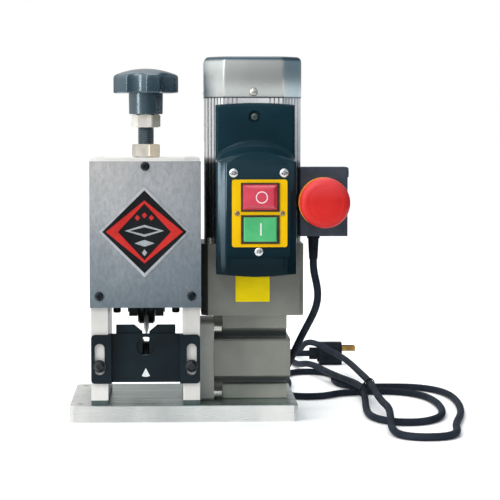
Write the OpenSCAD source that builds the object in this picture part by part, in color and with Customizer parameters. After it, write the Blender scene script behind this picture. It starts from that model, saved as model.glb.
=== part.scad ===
// Bench-top electric wire stripper. A motor turns a toothed feed roller through a
// right-angle gearbox. A wire goes in through the guide and is rolled between the
// roller and a free-turning round blade, which a pressure screw raises and lowers.
// Millimetres. The origin is the centre of the base's underside, +X to the motor's
// side, +Y away from the operator, +Z up.

/* [Base plate] */
// Width of the base plate
base_w = 230; // [226:1:300]
// Depth of the base plate
base_d = 175; // [170:1:240]
// Thickness of the base plate
base_h = 17; // [14:0.5:30]
// Chamfer on the upright corners of the base
base_corner = 4; // [1:0.5:8]
// Diameter of the four bench holes
bench_hole_d = 7; // [5:0.5:9]
// Distance between the bench holes across the base
bench_hole_x = 210; // [205:1:214]
// Distance between the bench holes along the base
bench_hole_y = 144; // [130:1:160]

/* [Head frame] */
// Place of the head's middle to the left of the origin
head_left = 38.5; // [36:0.5:40]
// Outside width of the head over both side plates
head_w = 109.5; // [104:0.5:112]
// Thickness of one side plate
plate_t = 17; // [15:0.5:18]
// Depth of a side plate, front to back
plate_d = 141; // [125:1:150]
// Distance of the side plates' front edge before the origin
plate_front = 82.5; // [78:0.5:86]
// Height of a side plate
plate_h = 227.7; // [222:0.1:250]
// Thickness of the strip under each side plate
foot_t = 4.8; // [3:0.2:8]
// Thickness of the top plate
top_t = 16; // [12:0.5:22]
// Width of the front and rear covers
cover_w = 111.5; // [109:0.5:118]
// Height of the covers
cover_h = 146.8; // [135:0.2:149]
// Thickness of the covers
cover_t = 4.5; // [2:0.5:6]
// Width of the strip of the top plate above the covers
cover_drop = 3; // [1:0.5:5]
// Width of the diamond badge, corner to corner
badge_w = 90.5; // [60:0.5:100]
// Thickness of the badge
badge_t = 1; // [0.6:0.2:2]

/* [Feed shaft and roller] */
// Place of the shaft, blade and screw along the depth, before the origin
drive_front = 10; // [6:0.5:14]
// Diameter of the feed shaft
shaft_d = 15; // [12:0.5:16]
// Outside diameter of the feed roller
roller_d = 44; // [40:0.5:46]
// Width of the feed roller
roller_w = 30; // [20:1:44]
// Number of teeth round the roller
roller_teeth = 48; // [30:1:60]
// Depth of the roller's teeth
tooth_depth = 1; // [0.5:0.1:1.5]
// Width of the groove round the middle of the roller
groove_w = 8; // [6:0.5:12]
// Depth of that groove
groove_depth = 5; // [4.5:0.5:7]
// Outside diameter of the ball bearings
bearing_od = 32; // [28:1:35]
// Width of the ball bearings
bearing_w = 9; // [7:0.5:10]

/* [Blade and carriage] */
// Diameter of the round blade
blade_d = 62; // [56:0.5:66]
// Thickness of the blade at its hub
blade_t = 5; // [3:0.5:6]
// Gap between the blade's edge and the roller at rest
blade_gap = 0.5; // [0.4:0.1:4]
// Diameter of the collars beside the blade
collar_d = 36; // [28:0.5:40]
// Width over both collars and the blade
hub_w = 17.6; // [14:0.2:20]
// Diameter of the blade's axle
axle_d = 8; // [6:0.5:9]
// Width of the carriage's fork
fork_w = 35.6; // [30:0.2:40]
// Depth of the carriage's fork
fork_d = 30; // [22:1:40]
// Wall of the fork below the axle
fork_wall = 4.8; // [2:0.2:6]
// Height of the carriage's wide body
carriage_h = 50; // [40:1:60]
// Depth of the carriage's wide body
carriage_d = 44; // [36:1:56]
// Height of the body's underside above the blade's axle
carriage_lift = 39.5; // [38:0.5:46]
// Distance of each guide rod from the side plate beside it
rod_inset = 7.25; // [6.5:0.25:9]
// Diameter of the guide rods
rod_d = 8; // [6:0.5:9]
// Distance of the rods' lower ends below the blade's axle
rod_drop = 6.5; // [4:0.5:12]
// Wire diameter of the return springs
spring_wire = 1.8; // [1:0.1:2]
// Number of turns in a return spring
spring_turns = 5; // [4:1:7]

/* [Pressure screw and knob] */
// Diameter of the pressure screw
screw_d = 16; // [14:0.5:18]
// Distance across the flats of the two nuts on the screw
nut_af = 26; // [24:0.5:30]
// Thickness of the two nuts
nut_t = 13.5; // [10:0.5:16]
// Bare length of screw between the nuts
screw_bare = 17; // [14:0.5:24]
// Diameter of the knob's hub
knob_hub_d = 35.3; // [30:0.5:40]
// Height of the knob's hub
knob_hub_h = 21.8; // [15:0.2:30]
// Diameter of the knob's head
knob_d = 67.3; // [55:0.1:80]
// Height of the knob's head at its rim
knob_rim_h = 18; // [12:0.5:24]
// Height of the dome on the knob
knob_dome_h = 7.3; // [4:0.1:12]
// Number of finger flutes round the knob
knob_flutes = 6; // [4:1:8]

/* [Wire guide] */
// Height of the guide plate
guide_h = 49.3; // [46:0.1:56]
// Thickness of the guide plate
guide_t = 3; // [2:0.5:4]
// Depth from the guide's ears back to its middle panel
guide_step = 12.5; // [8:0.5:16]
// Height of the guide's top edge above the middle of the wire hole
guide_rise = 12.8; // [12:0.2:18]
// Diameter of the wire hole
wire_hole_d = 18.9; // [12:0.1:20]
// Width of a slot in the guide's ears
slot_w = 10; // [8:0.5:11]
// Length of a slot in the guide's ears
slot_l = 32; // [26:0.5:34]
// Width of the notched block behind the guide
block_w = 60; // [50:0.5:64]
// Thickness of the notched block
block_t = 8; // [5:0.5:12]
// Height of the notched block above the guide's top edge
block_rise = 8.4; // [5:0.2:12]
// Width of the notch at its mouth
notch_w = 23.5; // [16:0.5:30]
// Depth of the notch
notch_depth = 9.7; // [6:0.1:11]

/* [Gearbox] */
// Side of the square flange between head and gearbox
flange_w = 80; // [76:1:84]
// Thickness of that flange
flange_t = 14.6; // [10:0.2:20]
// Distance of the flange bolts from the shaft, across and up
flange_bolt = 33.6; // [30:0.2:35]
// Length of the right-angle gearbox's middle housing
box_l = 78.2; // [70:0.2:84]
// Height of the middle housing
mid_h = 39.7; // [34:0.2:44]
// Depth of the middle housing
mid_d = 83; // [70:1:90]
// Depth of the blocks above and below the middle housing
block_d = 55; // [44:1:64]
// Height of the gearbox's lower block
low_block_h = 15.6; // [12:0.2:18]
// Height of the gearbox's upper block
top_block_h = 15.7; // [10:0.1:18]
// Height of the gearbox's top above the shaft
box_rise = 48; // [44:0.5:54]

/* [Motor] */
// Place of the motor's axis to the right of the origin
motor_right = 71; // [70:0.5:74]
// Step from the motor's flats back to the gearhead's faces
gearhead_back = 1.25; // [0.5:0.25:2]
// Step from the motor's flats out to the gearhead's sides
gearhead_out = 0.8; // [0:0.1:1.5]
// Height of the gearhead
gearhead_h = 61.6; // [50:0.2:70]
// Thickness of the motor's lower flange
lower_flange_t = 11.4; // [10.5:0.1:14]
// Width of the motor's finned body over its flats
motor_w = 98; // [97:0.5:100]
// Length that each corner of the motor's body is cut back
corner_cut = 19; // [17:0.5:22]
// Height of the motor's finned body
motor_h = 148; // [140:1:170]
// Spacing of the cooling fins
fin_pitch = 4.4; // [4:0.1:6]
// Width of the grooves between the fins
fin_gap = 1.4; // [0.8:0.1:2]
// Depth of the grooves between the fins
fin_depth = 3; // [1.5:0.5:4]
// Distance that the cap stands out over the motor's fins
cap_over = 0.7; // [0.5:0.1:3]
// Height of the cap
cap_h = 42.5; // [36:0.5:50]
// Wall of the cap
cap_wall = 3; // [2:0.5:4]
// Diameter of the motor's shaft
motor_shaft_d = 12; // [10:0.5:14]
// Diameter of the rotor
rotor_d = 50; // [40:1:54]
// Length of the rotor
rotor_l = 72; // [50:1:90]

/* [Switch box] */
// Width of the switch box at its back
sbox_w = 80.3; // [78:0.1:82]
// Height of the switch box, thin upper part included
sbox_h = 173.7; // [168:0.1:177]
// Depth of the switch box
sbox_d = 43; // [38:0.5:50]
// Depth of its thin upper part
sbox_thin = 8; // [6:0.5:12]
// Width of the slanted border round its front
sbox_bevel = 8; // [6:0.5:9]
// Height of the deep part's arched top, at its middle
sbox_arch = 125.3; // [120:0.1:128]
// Thickness of the front panel
panel_t = 2; // [1:0.5:3]
// Width of the front panel
panel_w = 62.6; // [58:0.2:63]
// Height of the front panel
panel_h = 91.6; // [84:0.2:94]
// Width of the yellow switch plate
splate_w = 55.1; // [52:0.1:56]
// Height of the yellow switch plate
splate_h = 67.1; // [64:0.1:70]
// Travel of the start and stop buttons
button_travel = 3; // [1:0.5:4]

/* [Emergency stop] */
// Width of the emergency stop's box
ebox_w = 48.5; // [44:0.5:56]
// Height of the box
ebox_h = 69.2; // [60:0.2:80]
// Depth of the box
ebox_d = 40; // [34:0.5:41]
// Diameter of the mushroom button
mushroom_d = 50; // [40:0.5:54]
// Distance of the button's face before the box
mushroom_out = 35.5; // [34:0.5:42]
// Travel of the mushroom button
mushroom_travel = 5; // [3:0.5:6]

/* [Mains lead] */
// Diameter of the lead
cord_d = 7.5; // [6:0.5:8]
// Length of the strain relief
relief_l = 24; // [20:1:24]

/* [Hidden] */
$fn = 48;

// Clearances
run = 0.05;
slip = 0.3;
over = 1;

// Heights
foot_z = base_h;
plate_z = foot_z + foot_t;
top_z = plate_z + plate_h;
head_top = top_z + top_t;
cover_z = head_top - cover_drop - cover_h;
shaft_z = base_h + flange_w / 2;
wire_z = shaft_z + roller_d / 2 - 3.5;
blade_z = shaft_z + roller_d / 2 + blade_gap + blade_d / 2;
fork_z = blade_z - axle_d / 2 - fork_wall;
carriage_z = blade_z + carriage_lift;
carriage_top = carriage_z + carriage_h;
rod_z = blade_z - rod_drop;
gearhead_z = shaft_z + box_rise;
lower_flange_z = gearhead_z + gearhead_h;
motor_z = lower_flange_z + lower_flange_t;
cap_z = motor_z + motor_h;

// Places across and along
head_x = -head_left;
drive_y = -drive_front;
motor_x = motor_right;
left_out = head_x - head_w / 2;
right_out = head_x + head_w / 2;
left_in = left_out + plate_t;
right_in = right_out - plate_t;
plate_mid = (head_w - plate_t) / 2;
rod_offset = head_w / 2 - plate_t - rod_inset;
plate_y0 = -plate_front;
plate_y1 = plate_y0 + plate_d;
cover_y0 = plate_y0 - cover_t;
motor_front = drive_y - motor_w / 2;
motor_flat = motor_w - 2 * corner_cut;
gearhead_w = motor_w + 2 * gearhead_out;
gearhead_d = motor_w - 2 * gearhead_back;
gearhead_cut = 6;
cap_w = motor_w + 2 * cap_over;

// Screws of the head
frame_screw_d = 8;
frame_screw_head = 13;
frame_screw_sink = 9;
frame_screw_bite = 14;
frame_screw_y = [plate_y0 + 22, plate_y1 - 22];
top_screw_d = 6;
top_screw_head = 12;
top_screw_sink = 3.3;
top_screw_bite = 12;
cover_screw_d = 4;
cover_screw_head = 9;
cover_screw_h = 2.8;
cover_screw_bite = 10;
cover_screw_z = cover_z + 11.6;
cover_top_screw_z = top_z + top_t / 2;

// Guide plate
guide_z1 = wire_z + guide_rise;
guide_z0 = guide_z1 - guide_h;
guide_back = plate_y0 - slip;
guide_front = guide_back - guide_t;
panel_y = guide_front + guide_step;
guide_corner = 4;
slot_z0 = guide_z0 + 8.3;
guide_screw_d = 6;
guide_screw_z = guide_z0 + 17.8;
guide_screw_bite = 16;
washer_d = 13;
washer_t = 1.5;
guide_head_d = 10.5;
guide_head_h = 3.4;

module chamfered_rect(w, d, c) {
    polygon([[-w / 2 + c, -d / 2], [w / 2 - c, -d / 2], [w / 2, -d / 2 + c],
             [w / 2, d / 2 - c], [w / 2 - c, d / 2], [-w / 2 + c, d / 2],
             [-w / 2, d / 2 - c], [-w / 2, -d / 2 + c]]);
}

module rounded_rect(w, h, r) {
    square([w - 2 * r, h], center = true);
    square([w, h - 2 * r], center = true);
    for (x = [-1, 1], y = [-1, 1])
        translate([x * (w / 2 - r), y * (h / 2 - r)]) circle(r);
}

// A flat shape drawn in X and Z, thickened from y_back towards the operator
module front_slab(y_back, t) {
    translate([0, y_back, 0]) rotate([90, 0, 0]) linear_extrude(t) children();
}

// A flat shape drawn in Y and Z, thickened from x0 towards +X
module side_slab(x0, t) {
    translate([x0, 0, 0]) rotate([90, 0, 90]) linear_extrude(t) children();
}

// A round bar along X, starting at x0
module bar_x(x0, y, z, l, d) {
    translate([x0, y, z]) rotate([0, 90, 0]) cylinder(h = l, d = d);
}

// Anything drawn along +Z, turned to point at the operator
module to_front(x, y, z) {
    translate([x, y, z]) rotate([90, 0, 0]) children();
}

module hex_prism(af, h) {
    cylinder(h = h, d = af / cos(30), $fn = 6);
}

module button_head(d, h, socket) {
    difference() {
        union() {
            cylinder(h = h * 0.4, d = d);
            translate([0, 0, h * 0.4]) cylinder(h = h * 0.6, d1 = d, d2 = d * 0.62);
        }
        translate([0, 0, h * 0.4]) hex_prism(socket, h);
    }
}

module cap_head(d, h, socket) {
    difference() {
        cylinder(h = h, d = d);
        translate([0, 0, h * 0.45]) hex_prism(socket, h);
    }
}

// Base

module frame_screw_places() {
    for (side = [-1, 1], y = frame_screw_y)
        translate([head_x + side * plate_mid, y, 0]) children();
}

module base_plate() {
    color("gainsboro") difference() {
        linear_extrude(base_h) chamfered_rect(base_w, base_d, base_corner);
        for (x = [-1, 1], y = [-1, 1])
            translate([x * bench_hole_x / 2, y * bench_hole_y / 2, -over])
                cylinder(h = base_h + 2 * over, d = bench_hole_d);
        frame_screw_places() {
            translate([0, 0, -over]) cylinder(h = base_h + 2 * over, d = frame_screw_d);
            translate([0, 0, -over]) cylinder(h = frame_screw_sink + over, d = frame_screw_head + 1);
        }
    }
}

module frame_screws() {
    color("dimgray") {
        frame_screw_places() {
            translate([0, 0, frame_screw_sink - 8]) difference() {
                cylinder(h = 8, d = frame_screw_head);
                translate([0, 0, -over]) hex_prism(6, 5);
            }
            translate([0, 0, frame_screw_sink])
                cylinder(h = plate_z + frame_screw_bite - frame_screw_sink, d = frame_screw_d);
        }
        frame_screw_places() {
            translate([0, 0, top_z - top_screw_bite])
                cylinder(h = top_t - top_screw_sink + top_screw_bite, d = top_screw_d);
            translate([0, 0, head_top - top_screw_sink]) difference() {
                cylinder(h = top_screw_sink, d1 = top_screw_d, d2 = top_screw_head);
                translate([0, 0, top_screw_sink - 2]) hex_prism(4, 3);
            }
        }
    }
}

module foot_strips() {
    color("darkslategray") for (x0 = [left_out, right_in]) difference() {
        translate([x0, plate_y0, foot_z]) cube([plate_t, plate_d, foot_t]);
        frame_screw_places() translate([0, 0, foot_z - over])
            cylinder(h = foot_t + 2 * over, d = frame_screw_d);
    }
}

// Head

// Side plate with its outer face at x_out and its inner face at x_in
module side_plate(x_out, x_in) {
    inward = x_in > x_out ? 1 : -1;
    mid = (x_out + x_in) / 2;
    pocket = bearing_w + 0.5;
    difference() {
        translate([min(x_out, x_in), plate_y0, plate_z]) cube([plate_t, plate_d, plate_h]);
        bar_x(min(x_in, x_in - inward * pocket) - (inward > 0 ? 0 : over), drive_y, shaft_z,
              pocket + over, bearing_od);
        bar_x(min(x_out, x_in) - over, drive_y, shaft_z, plate_t + 2 * over, shaft_d + 4);
        for (y = frame_screw_y) {
            translate([mid, y, plate_z - over]) cylinder(h = frame_screw_bite + over, d = frame_screw_d);
            translate([mid, y, top_z - top_screw_bite])
                cylinder(h = top_screw_bite + over, d = top_screw_d);
        }
        translate([mid, plate_y0 - over, guide_screw_z]) rotate([-90, 0, 0])
            cylinder(h = guide_screw_bite + over, d = guide_screw_d);
        translate([mid, plate_y0 - over, cover_screw_z]) rotate([-90, 0, 0])
            cylinder(h = cover_screw_bite + over, d = cover_screw_d);
        translate([mid, plate_y1 + over, cover_screw_z]) rotate([90, 0, 0])
            cylinder(h = cover_screw_bite + over, d = cover_screw_d);
    }
}

module left_side_plate() {
    color("lightgray") side_plate(left_out, left_in);
}

module right_side_plate() {
    color("lightgray") side_plate(right_out, right_in);
}

module top_plate() {
    color("lightgray") difference() {
        translate([left_out, plate_y0, top_z]) cube([head_w, plate_d, top_t]);
        translate([head_x, drive_y, top_z - over])
            cylinder(h = top_t + 2 * over, d = screw_d + 2 * run);
        for (side = [-1, 1]) translate([head_x + side * rod_offset, drive_y, top_z - over])
            cylinder(h = rod_bite + over, d = rod_d);
        frame_screw_places() {
            translate([0, 0, top_z - over]) cylinder(h = top_t + 2 * over, d = top_screw_d);
            translate([0, 0, head_top - top_screw_sink])
                cylinder(h = top_screw_sink, d1 = top_screw_d, d2 = top_screw_head);
            translate([0, 0, head_top]) cylinder(h = over, d = top_screw_head);
        }
        translate([head_x, plate_y0 - over, cover_top_screw_z]) rotate([-90, 0, 0])
            cylinder(h = cover_screw_bite + over, d = cover_screw_d);
        translate([head_x, plate_y1 + over, cover_top_screw_z]) rotate([90, 0, 0])
            cylinder(h = cover_screw_bite + over, d = cover_screw_d);
    }
}

// Centres of a cover's three screws, as [x, z]
cover_screw_xz = [[head_x - plate_mid, cover_screw_z], [head_x + plate_mid, cover_screw_z],
                  [head_x, cover_top_screw_z]];

module cover_sheet(y_back) {
    front_slab(y_back, cover_t) difference() {
        translate([head_x - cover_w / 2, cover_z]) square([cover_w, cover_h]);
        for (p = cover_screw_xz) translate(p) circle(d = cover_screw_d);
    }
}

module front_cover() {
    color("darkgray") cover_sheet(plate_y0);
}

module rear_cover() {
    color("darkgray") cover_sheet(plate_y1 + cover_t);
}

module cover_screws() {
    color("black") for (p = cover_screw_xz) {
        to_front(p[0], cover_y0, p[1]) {
            button_head(cover_screw_head, cover_screw_h, 3);
            translate([0, 0, -cover_t - cover_screw_bite + slip])
                cylinder(h = cover_t + cover_screw_bite - slip, d = cover_screw_d);
        }
        translate([p[0], plate_y1 + cover_t, p[1]]) rotate([-90, 0, 0]) {
            button_head(cover_screw_head, cover_screw_h, 3);
            translate([0, 0, -cover_t - cover_screw_bite + slip])
                cylinder(h = cover_t + cover_screw_bite - slip, d = cover_screw_d);
        }
    }
}

badge_z = cover_z + cover_h / 2 + 3.4;

module badge() {
    color("black") front_slab(cover_y0, badge_t) translate([head_x, badge_z])
        rotate(45) square(badge_w / sqrt(2), center = true);
}

// Guide rods and return springs of the carriage

rod_bite = 10;
rod_nut_af = 13;
rod_nut_t = 6.5;
rod_nut_z = blade_z + axle_d / 2 + 3;
spring_washer_t = 1.5;
spring_z = rod_nut_z + rod_nut_t + spring_washer_t;
spring_od = rod_nut_af - 0.4;

module rod_places() {
    for (side = [-1, 1]) translate([head_x + side * rod_offset, drive_y, 0]) children();
}

module guide_rods() {
    color("darkslategray") rod_places() {
        translate([0, 0, rod_z]) cylinder(h = 1, d1 = rod_d - 2, d2 = rod_d);
        translate([0, 0, rod_z + 1]) cylinder(h = top_z + rod_bite - rod_z - 1, d = rod_d);
    }
}

module rod_nuts() {
    color("silver") rod_places() {
        translate([0, 0, rod_nut_z]) difference() {
            hex_prism_flat(rod_nut_af, rod_nut_t);
            translate([0, 0, -over]) cylinder(h = rod_nut_t + 2 * over, d = rod_d);
        }
        translate([0, 0, rod_nut_z + rod_nut_t]) difference() {
            cylinder(h = spring_washer_t, d = spring_od);
            translate([0, 0, -over]) cylinder(h = spring_washer_t + 2 * over, d = rod_d);
        }
    }
}

// A hexagon with flats square to X
module hex_prism_flat(af, h) {
    rotate(30) hex_prism(af, h);
}

// A closed tube along a list of points, with its rings square to the path
function unit(v) = v / norm(v);
function path_dir(p, i) = unit(p[min(i + 1, len(p) - 1)] - p[max(i - 1, 0)]);
function ring(c, d, r, n) =
    let (side = unit(cross(d, abs(d[2]) > 0.9 ? [0, 1, 0] : [0, 0, 1])), top = cross(side, d))
    [for (k = [0:n - 1]) c + r * (cos(360 * k / n) * side + sin(360 * k / n) * top)];

module tube_on(p, r, n) {
    last = len(p) - 1;
    points = [for (i = [0:last]) each ring(p[i], path_dir(p, i), r, n)];
    sides = [for (i = [0:last - 1], k = [0:n - 1])
        [i * n + k, i * n + (k + 1) % n, (i + 1) * n + (k + 1) % n, (i + 1) * n + k]];
    first_end = [for (k = [0:n - 1]) n - 1 - k];
    last_end = [for (k = [0:n - 1]) last * n + k];
    polyhedron(points, concat(sides, [first_end, last_end]), convexity = 8);
}

module coil_spring(h, od, wire, turns) {
    steps = 14;
    r = od / 2 - wire / 2;
    rise = h - wire;
    path = [for (i = [0:turns * steps])
        [r * cos(360 * i / steps), r * sin(360 * i / steps), wire / 2 + rise * i / (turns * steps)]];
    tube_on(path, wire / 2, 6);
}

module return_springs() {
    color("gray") rod_places() translate([0, 0, spring_z])
        coil_spring(carriage_z - spring_z, spring_od, spring_wire, spring_turns);
}

// A ball bearing as two rings and its shields, bored to turn on its shaft
module bearing(bore) {
    difference() {
        cylinder(h = bearing_w, d = bearing_od);
        translate([0, 0, -over]) cylinder(h = bearing_w + 2 * over, d = bore + 2 * run);
        for (z = [-over, bearing_w - 0.5]) translate([0, 0, z]) difference() {
            cylinder(h = 0.5 + over, d = bearing_od - 4);
            translate([0, 0, -over]) cylinder(h = bearing_w, d = bore + 4);
        }
    }
}

module bearings() {
    color("silver") {
        translate([left_in - bearing_w - 0.5, drive_y, shaft_z]) rotate([0, 90, 0]) bearing(shaft_d);
        translate([right_in + 0.5, drive_y, shaft_z]) rotate([0, 90, 0]) bearing(shaft_d);
        translate([motor_x, drive_y, motor_z - bearing_w]) bearing(motor_shaft_d);
        translate([motor_x, drive_y, cap_z - bearing_w]) bearing(motor_shaft_d);
    }
}

module guide_screws() {
    for (side = [-1, 1]) {
        color("silver") to_front(head_x + side * plate_mid, guide_front - slip, guide_screw_z)
            difference() {
                cylinder(h = washer_t, d = washer_d);
                translate([0, 0, -over]) cylinder(h = washer_t + 2 * over, d = guide_screw_d);
            }
        color("black") to_front(head_x + side * plate_mid, guide_front - slip - washer_t, guide_screw_z) {
            button_head(guide_head_d, guide_head_h, 4);
            back = guide_t + 2 * slip + washer_t + guide_screw_bite - 1;
            translate([0, 0, -back]) cylinder(h = back, d = guide_screw_d);
        }
    }
}

// Gearbox

flange_x = right_out;
box_x0 = flange_x + flange_t;
box_x1 = box_x0 + box_l;
block_x0 = box_x0 + 9;
block_x1 = box_x1 - 3;
bore_depth = 32;
flange_bolt_d = 5;
flange_head_d = 8;
flange_head_l = 8;

module gearbox_flange() {
    color("darkgray") difference() {
        side_slab(flange_x, flange_t) translate([drive_y, shaft_z])
            chamfered_rect(flange_w, flange_w, 2);
        bar_x(flange_x - over, drive_y, shaft_z, flange_t + 2 * over, shaft_d + 2 * run);
        for (y = [-1, 1], z = [-1, 1])
            bar_x(flange_x - over, drive_y + y * flange_bolt, shaft_z + z * flange_bolt,
                  flange_t + 2 * over, flange_bolt_d);
    }
}

module flange_bolts() {
    color("silver") for (y = [-1, 1], z = [-1, 1])
        translate([flange_x, drive_y + y * flange_bolt, shaft_z + z * flange_bolt]) rotate([0, 90, 0]) {
            cylinder(h = flange_t, d = flange_bolt_d);
            translate([0, 0, flange_t]) cylinder(h = 1, d = flange_head_d + 1.6);
            translate([0, 0, flange_t + 1]) cap_head(flange_head_d, flange_head_l - 1, 4);
        }
}

module right_angle_gearbox() {
    core_d = block_d - 15;
    color("gray") difference() {
        union() {
            side_slab(box_x0, box_l) translate([drive_y, shaft_z + 3.2]) chamfered_rect(mid_d, mid_h, 2);
            side_slab(box_x0, box_l - 3) translate([drive_y - core_d / 2, base_h])
                square([core_d, gearhead_z - base_h]);
            for (z = [[base_h, low_block_h], [gearhead_z - top_block_h, top_block_h]])
                side_slab(block_x0, block_x1 - block_x0) translate([drive_y, z[0] + z[1] / 2])
                    chamfered_rect(block_d, z[1], 1);
        }
        bar_x(box_x0 - over, drive_y, shaft_z, bore_depth + over, shaft_d + 2 * run);
        for (y = [-1, 1], z = [-1, 1])
            bar_x(box_x0 - over, drive_y + y * flange_bolt, shaft_z + z * flange_bolt,
                  flange_head_l + over + 1, flange_head_d + 4);
    }
}

// Gearhead and motor

// A square with its corners cut back to flats, as the motor's outline
module motor_outline(w, flat) {
    chamfered_rect(w, w, (w - flat) / 2);
}

module gearhead() {
    color("gray") translate([motor_x, drive_y, gearhead_z]) difference() {
        linear_extrude(gearhead_h) chamfered_rect(gearhead_w, gearhead_d, gearhead_cut);
        translate([0, 0, gearhead_h - shaft_sink]) cylinder(h = shaft_sink + over, d = motor_shaft_d + 2 * run);
        motor_bolt_places() translate([0, 0, gearhead_h - motor_bolt_bite])
            cylinder(h = motor_bolt_bite + over, d = motor_bolt_d);
    }
}

shaft_sink = 18;
motor_bolt = motor_w / 2 - 5.5;
motor_bolt_d = 5;
motor_bolt_bite = 15;

module motor_bolt_places() {
    for (x = [-1, 1], y = [-1, 1]) translate([x * motor_bolt, y * motor_bolt, 0]) children();
}

module lower_flange() {
    color("gray") translate([motor_x, drive_y, lower_flange_z]) difference() {
        linear_extrude(lower_flange_t) chamfered_rect(motor_w, motor_w, 5);
        translate([0, 0, -over]) cylinder(h = lower_flange_t + 2 * over, d = motor_shaft_d + 4);
        translate([0, 0, lower_flange_t - bearing_w]) cylinder(h = bearing_w + over, d = bearing_od);
        motor_bolt_places() translate([0, 0, -over])
            cylinder(h = lower_flange_t + 2 * over, d = motor_bolt_d);
    }
}

module motor_bolts() {
    color("silver") translate([motor_x, drive_y, motor_z]) motor_bolt_places() {
        translate([0, 0, -lower_flange_t - motor_bolt_bite + slip])
            cylinder(h = lower_flange_t + motor_bolt_bite - slip, d = motor_bolt_d);
        cap_head(8, 6, 4);
    }
}

fins_on_flat = floor((motor_flat / 2 - 10) / fin_pitch);
corner_reach = (motor_w / 2 - corner_cut / 2) * sqrt(2);
fins_on_corner = floor(corner_cut * sqrt(2) / 2 / fin_pitch - 0.5);

module motor_section() {
    difference() {
        motor_outline(motor_w, motor_flat);
        for (a = [0, 90, 180, 270]) rotate(a) {
            for (i = [0:fins_on_flat - 1], s = [-1, 1])
                translate([s * (motor_flat / 2 - i * fin_pitch) - fin_gap / 2, motor_w / 2 - fin_depth])
                    square([fin_gap, fin_depth + over]);
            for (i = [-fins_on_corner:fins_on_corner]) rotate(45)
                translate([i * fin_pitch - fin_gap / 2, corner_reach - fin_depth])
                    square([fin_gap, fin_depth + over]);
        }
    }
}

motor_bore = motor_w - 16;
end_shield_t = bearing_w + 1;

module motor_body() {
    color("silver") translate([motor_x, drive_y, motor_z]) difference() {
        linear_extrude(motor_h) motor_section();
        translate([0, 0, -over]) cylinder(h = motor_h - end_shield_t + over, d = motor_bore);
        translate([0, 0, motor_h - bearing_w]) cylinder(h = bearing_w + over, d = bearing_od);
        translate([0, 0, -over]) cylinder(h = motor_h, d = motor_shaft_d + 4);
    }
}

rotor_z = motor_z + (motor_h - end_shield_t - rotor_l) / 2;

module stator() {
    color("sienna") translate([motor_x, drive_y, rotor_z]) difference() {
        cylinder(h = rotor_l, d = motor_bore);
        translate([0, 0, -over]) cylinder(h = rotor_l + 2 * over, d = rotor_d + 2 * slip);
    }
}

module rotor_core() {
    color("gray") translate([motor_x, drive_y, rotor_z]) difference() {
        cylinder(h = rotor_l, d = rotor_d);
        translate([0, 0, -over]) cylinder(h = rotor_l + 2 * over, d = motor_shaft_d);
    }
}

fan_z = cap_z + 6;
fan_h = 16;

module motor_shaft() {
    shaft_z0 = lower_flange_z - shaft_sink + 1;
    color("silver") translate([motor_x, drive_y, shaft_z0])
        cylinder(h = fan_z + fan_h - shaft_z0, d = motor_shaft_d);
}

module cooling_fan() {
    fan_d = cap_w - 2 * cap_wall - 9.4;
    hub_d = 28;
    blade_in = hub_d / 2 - 2;
    color("black") translate([motor_x, drive_y, fan_z]) difference() {
        union() {
            cylinder(h = fan_h, d = hub_d);
            cylinder(h = 2, d = fan_d);
            for (a = [0:45:315]) rotate(a)
                translate([blade_in, -1, 1]) cube([fan_d / 2 - blade_in - 1, 2, fan_h - 1]);
        }
        translate([0, 0, -over]) cylinder(h = fan_h + 2 * over, d = motor_shaft_d);
    }
}

cap_bevel = 4;
cap_screw_head = 9;
cap_screw_h = 2.6;

module motor_cap() {
    flat = motor_flat;
    rim = cap_wall + 2;
    color("silver") translate([motor_x, drive_y, cap_z]) difference() {
        union() {
            linear_extrude(cap_h - cap_bevel) motor_outline(cap_w, flat);
            hull() {
                translate([0, 0, cap_h - cap_bevel - 0.01])
                    linear_extrude(0.01) motor_outline(cap_w, flat);
                translate([0, 0, cap_h - 0.01])
                    linear_extrude(0.01) motor_outline(cap_w - 2 * cap_bevel, flat - cap_bevel);
            }
        }
        translate([0, 0, -over]) linear_extrude(cap_h - cap_wall + over)
            motor_outline(cap_w - 2 * rim, flat - rim);
    }
}

module cap_screws() {
    color("silver") translate([motor_x, drive_y, cap_z + 6]) for (a = [0, 90, 180, 270])
        rotate(a) translate([0, -cap_w / 2, 0]) rotate([90, 0, 0])
            button_head(cap_screw_head, cap_screw_h, 3);
}

// Switch box on the motor's front

sbox_x = motor_x + 1.4;
sbox_hang = 19.3;
sbox_z = lower_flange_z - sbox_hang;
sbox_y1 = motor_front;
sbox_y0 = sbox_y1 - sbox_d;
sbox_bow = 2.5;
panel_x = sbox_x + 2.1;
panel_low = 20.1;
panel_z = sbox_z + panel_low + panel_h / 2;
splate_x = panel_x + 0.75;
window_x = splate_x + 0.6;

// Outline of the switch box: straight sides, bowed bottom, top higher in its middle
module sbox_outline(side_in, edge_in, top_side, top_mid) {
    half = sbox_w / 2 - side_in;
    steps = 10;
    bottom = [for (i = [0:steps]) let (u = 2 * i / steps - 1)
        [sbox_x + u * half, sbox_z + edge_in + sbox_bow * u * u]];
    top = [for (i = [0:steps]) let (u = 1 - 2 * i / steps)
        [sbox_x + u * half, top_mid - edge_in - (top_mid - top_side) * u * u]];
    polygon(concat(bottom, top));
}

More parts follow.
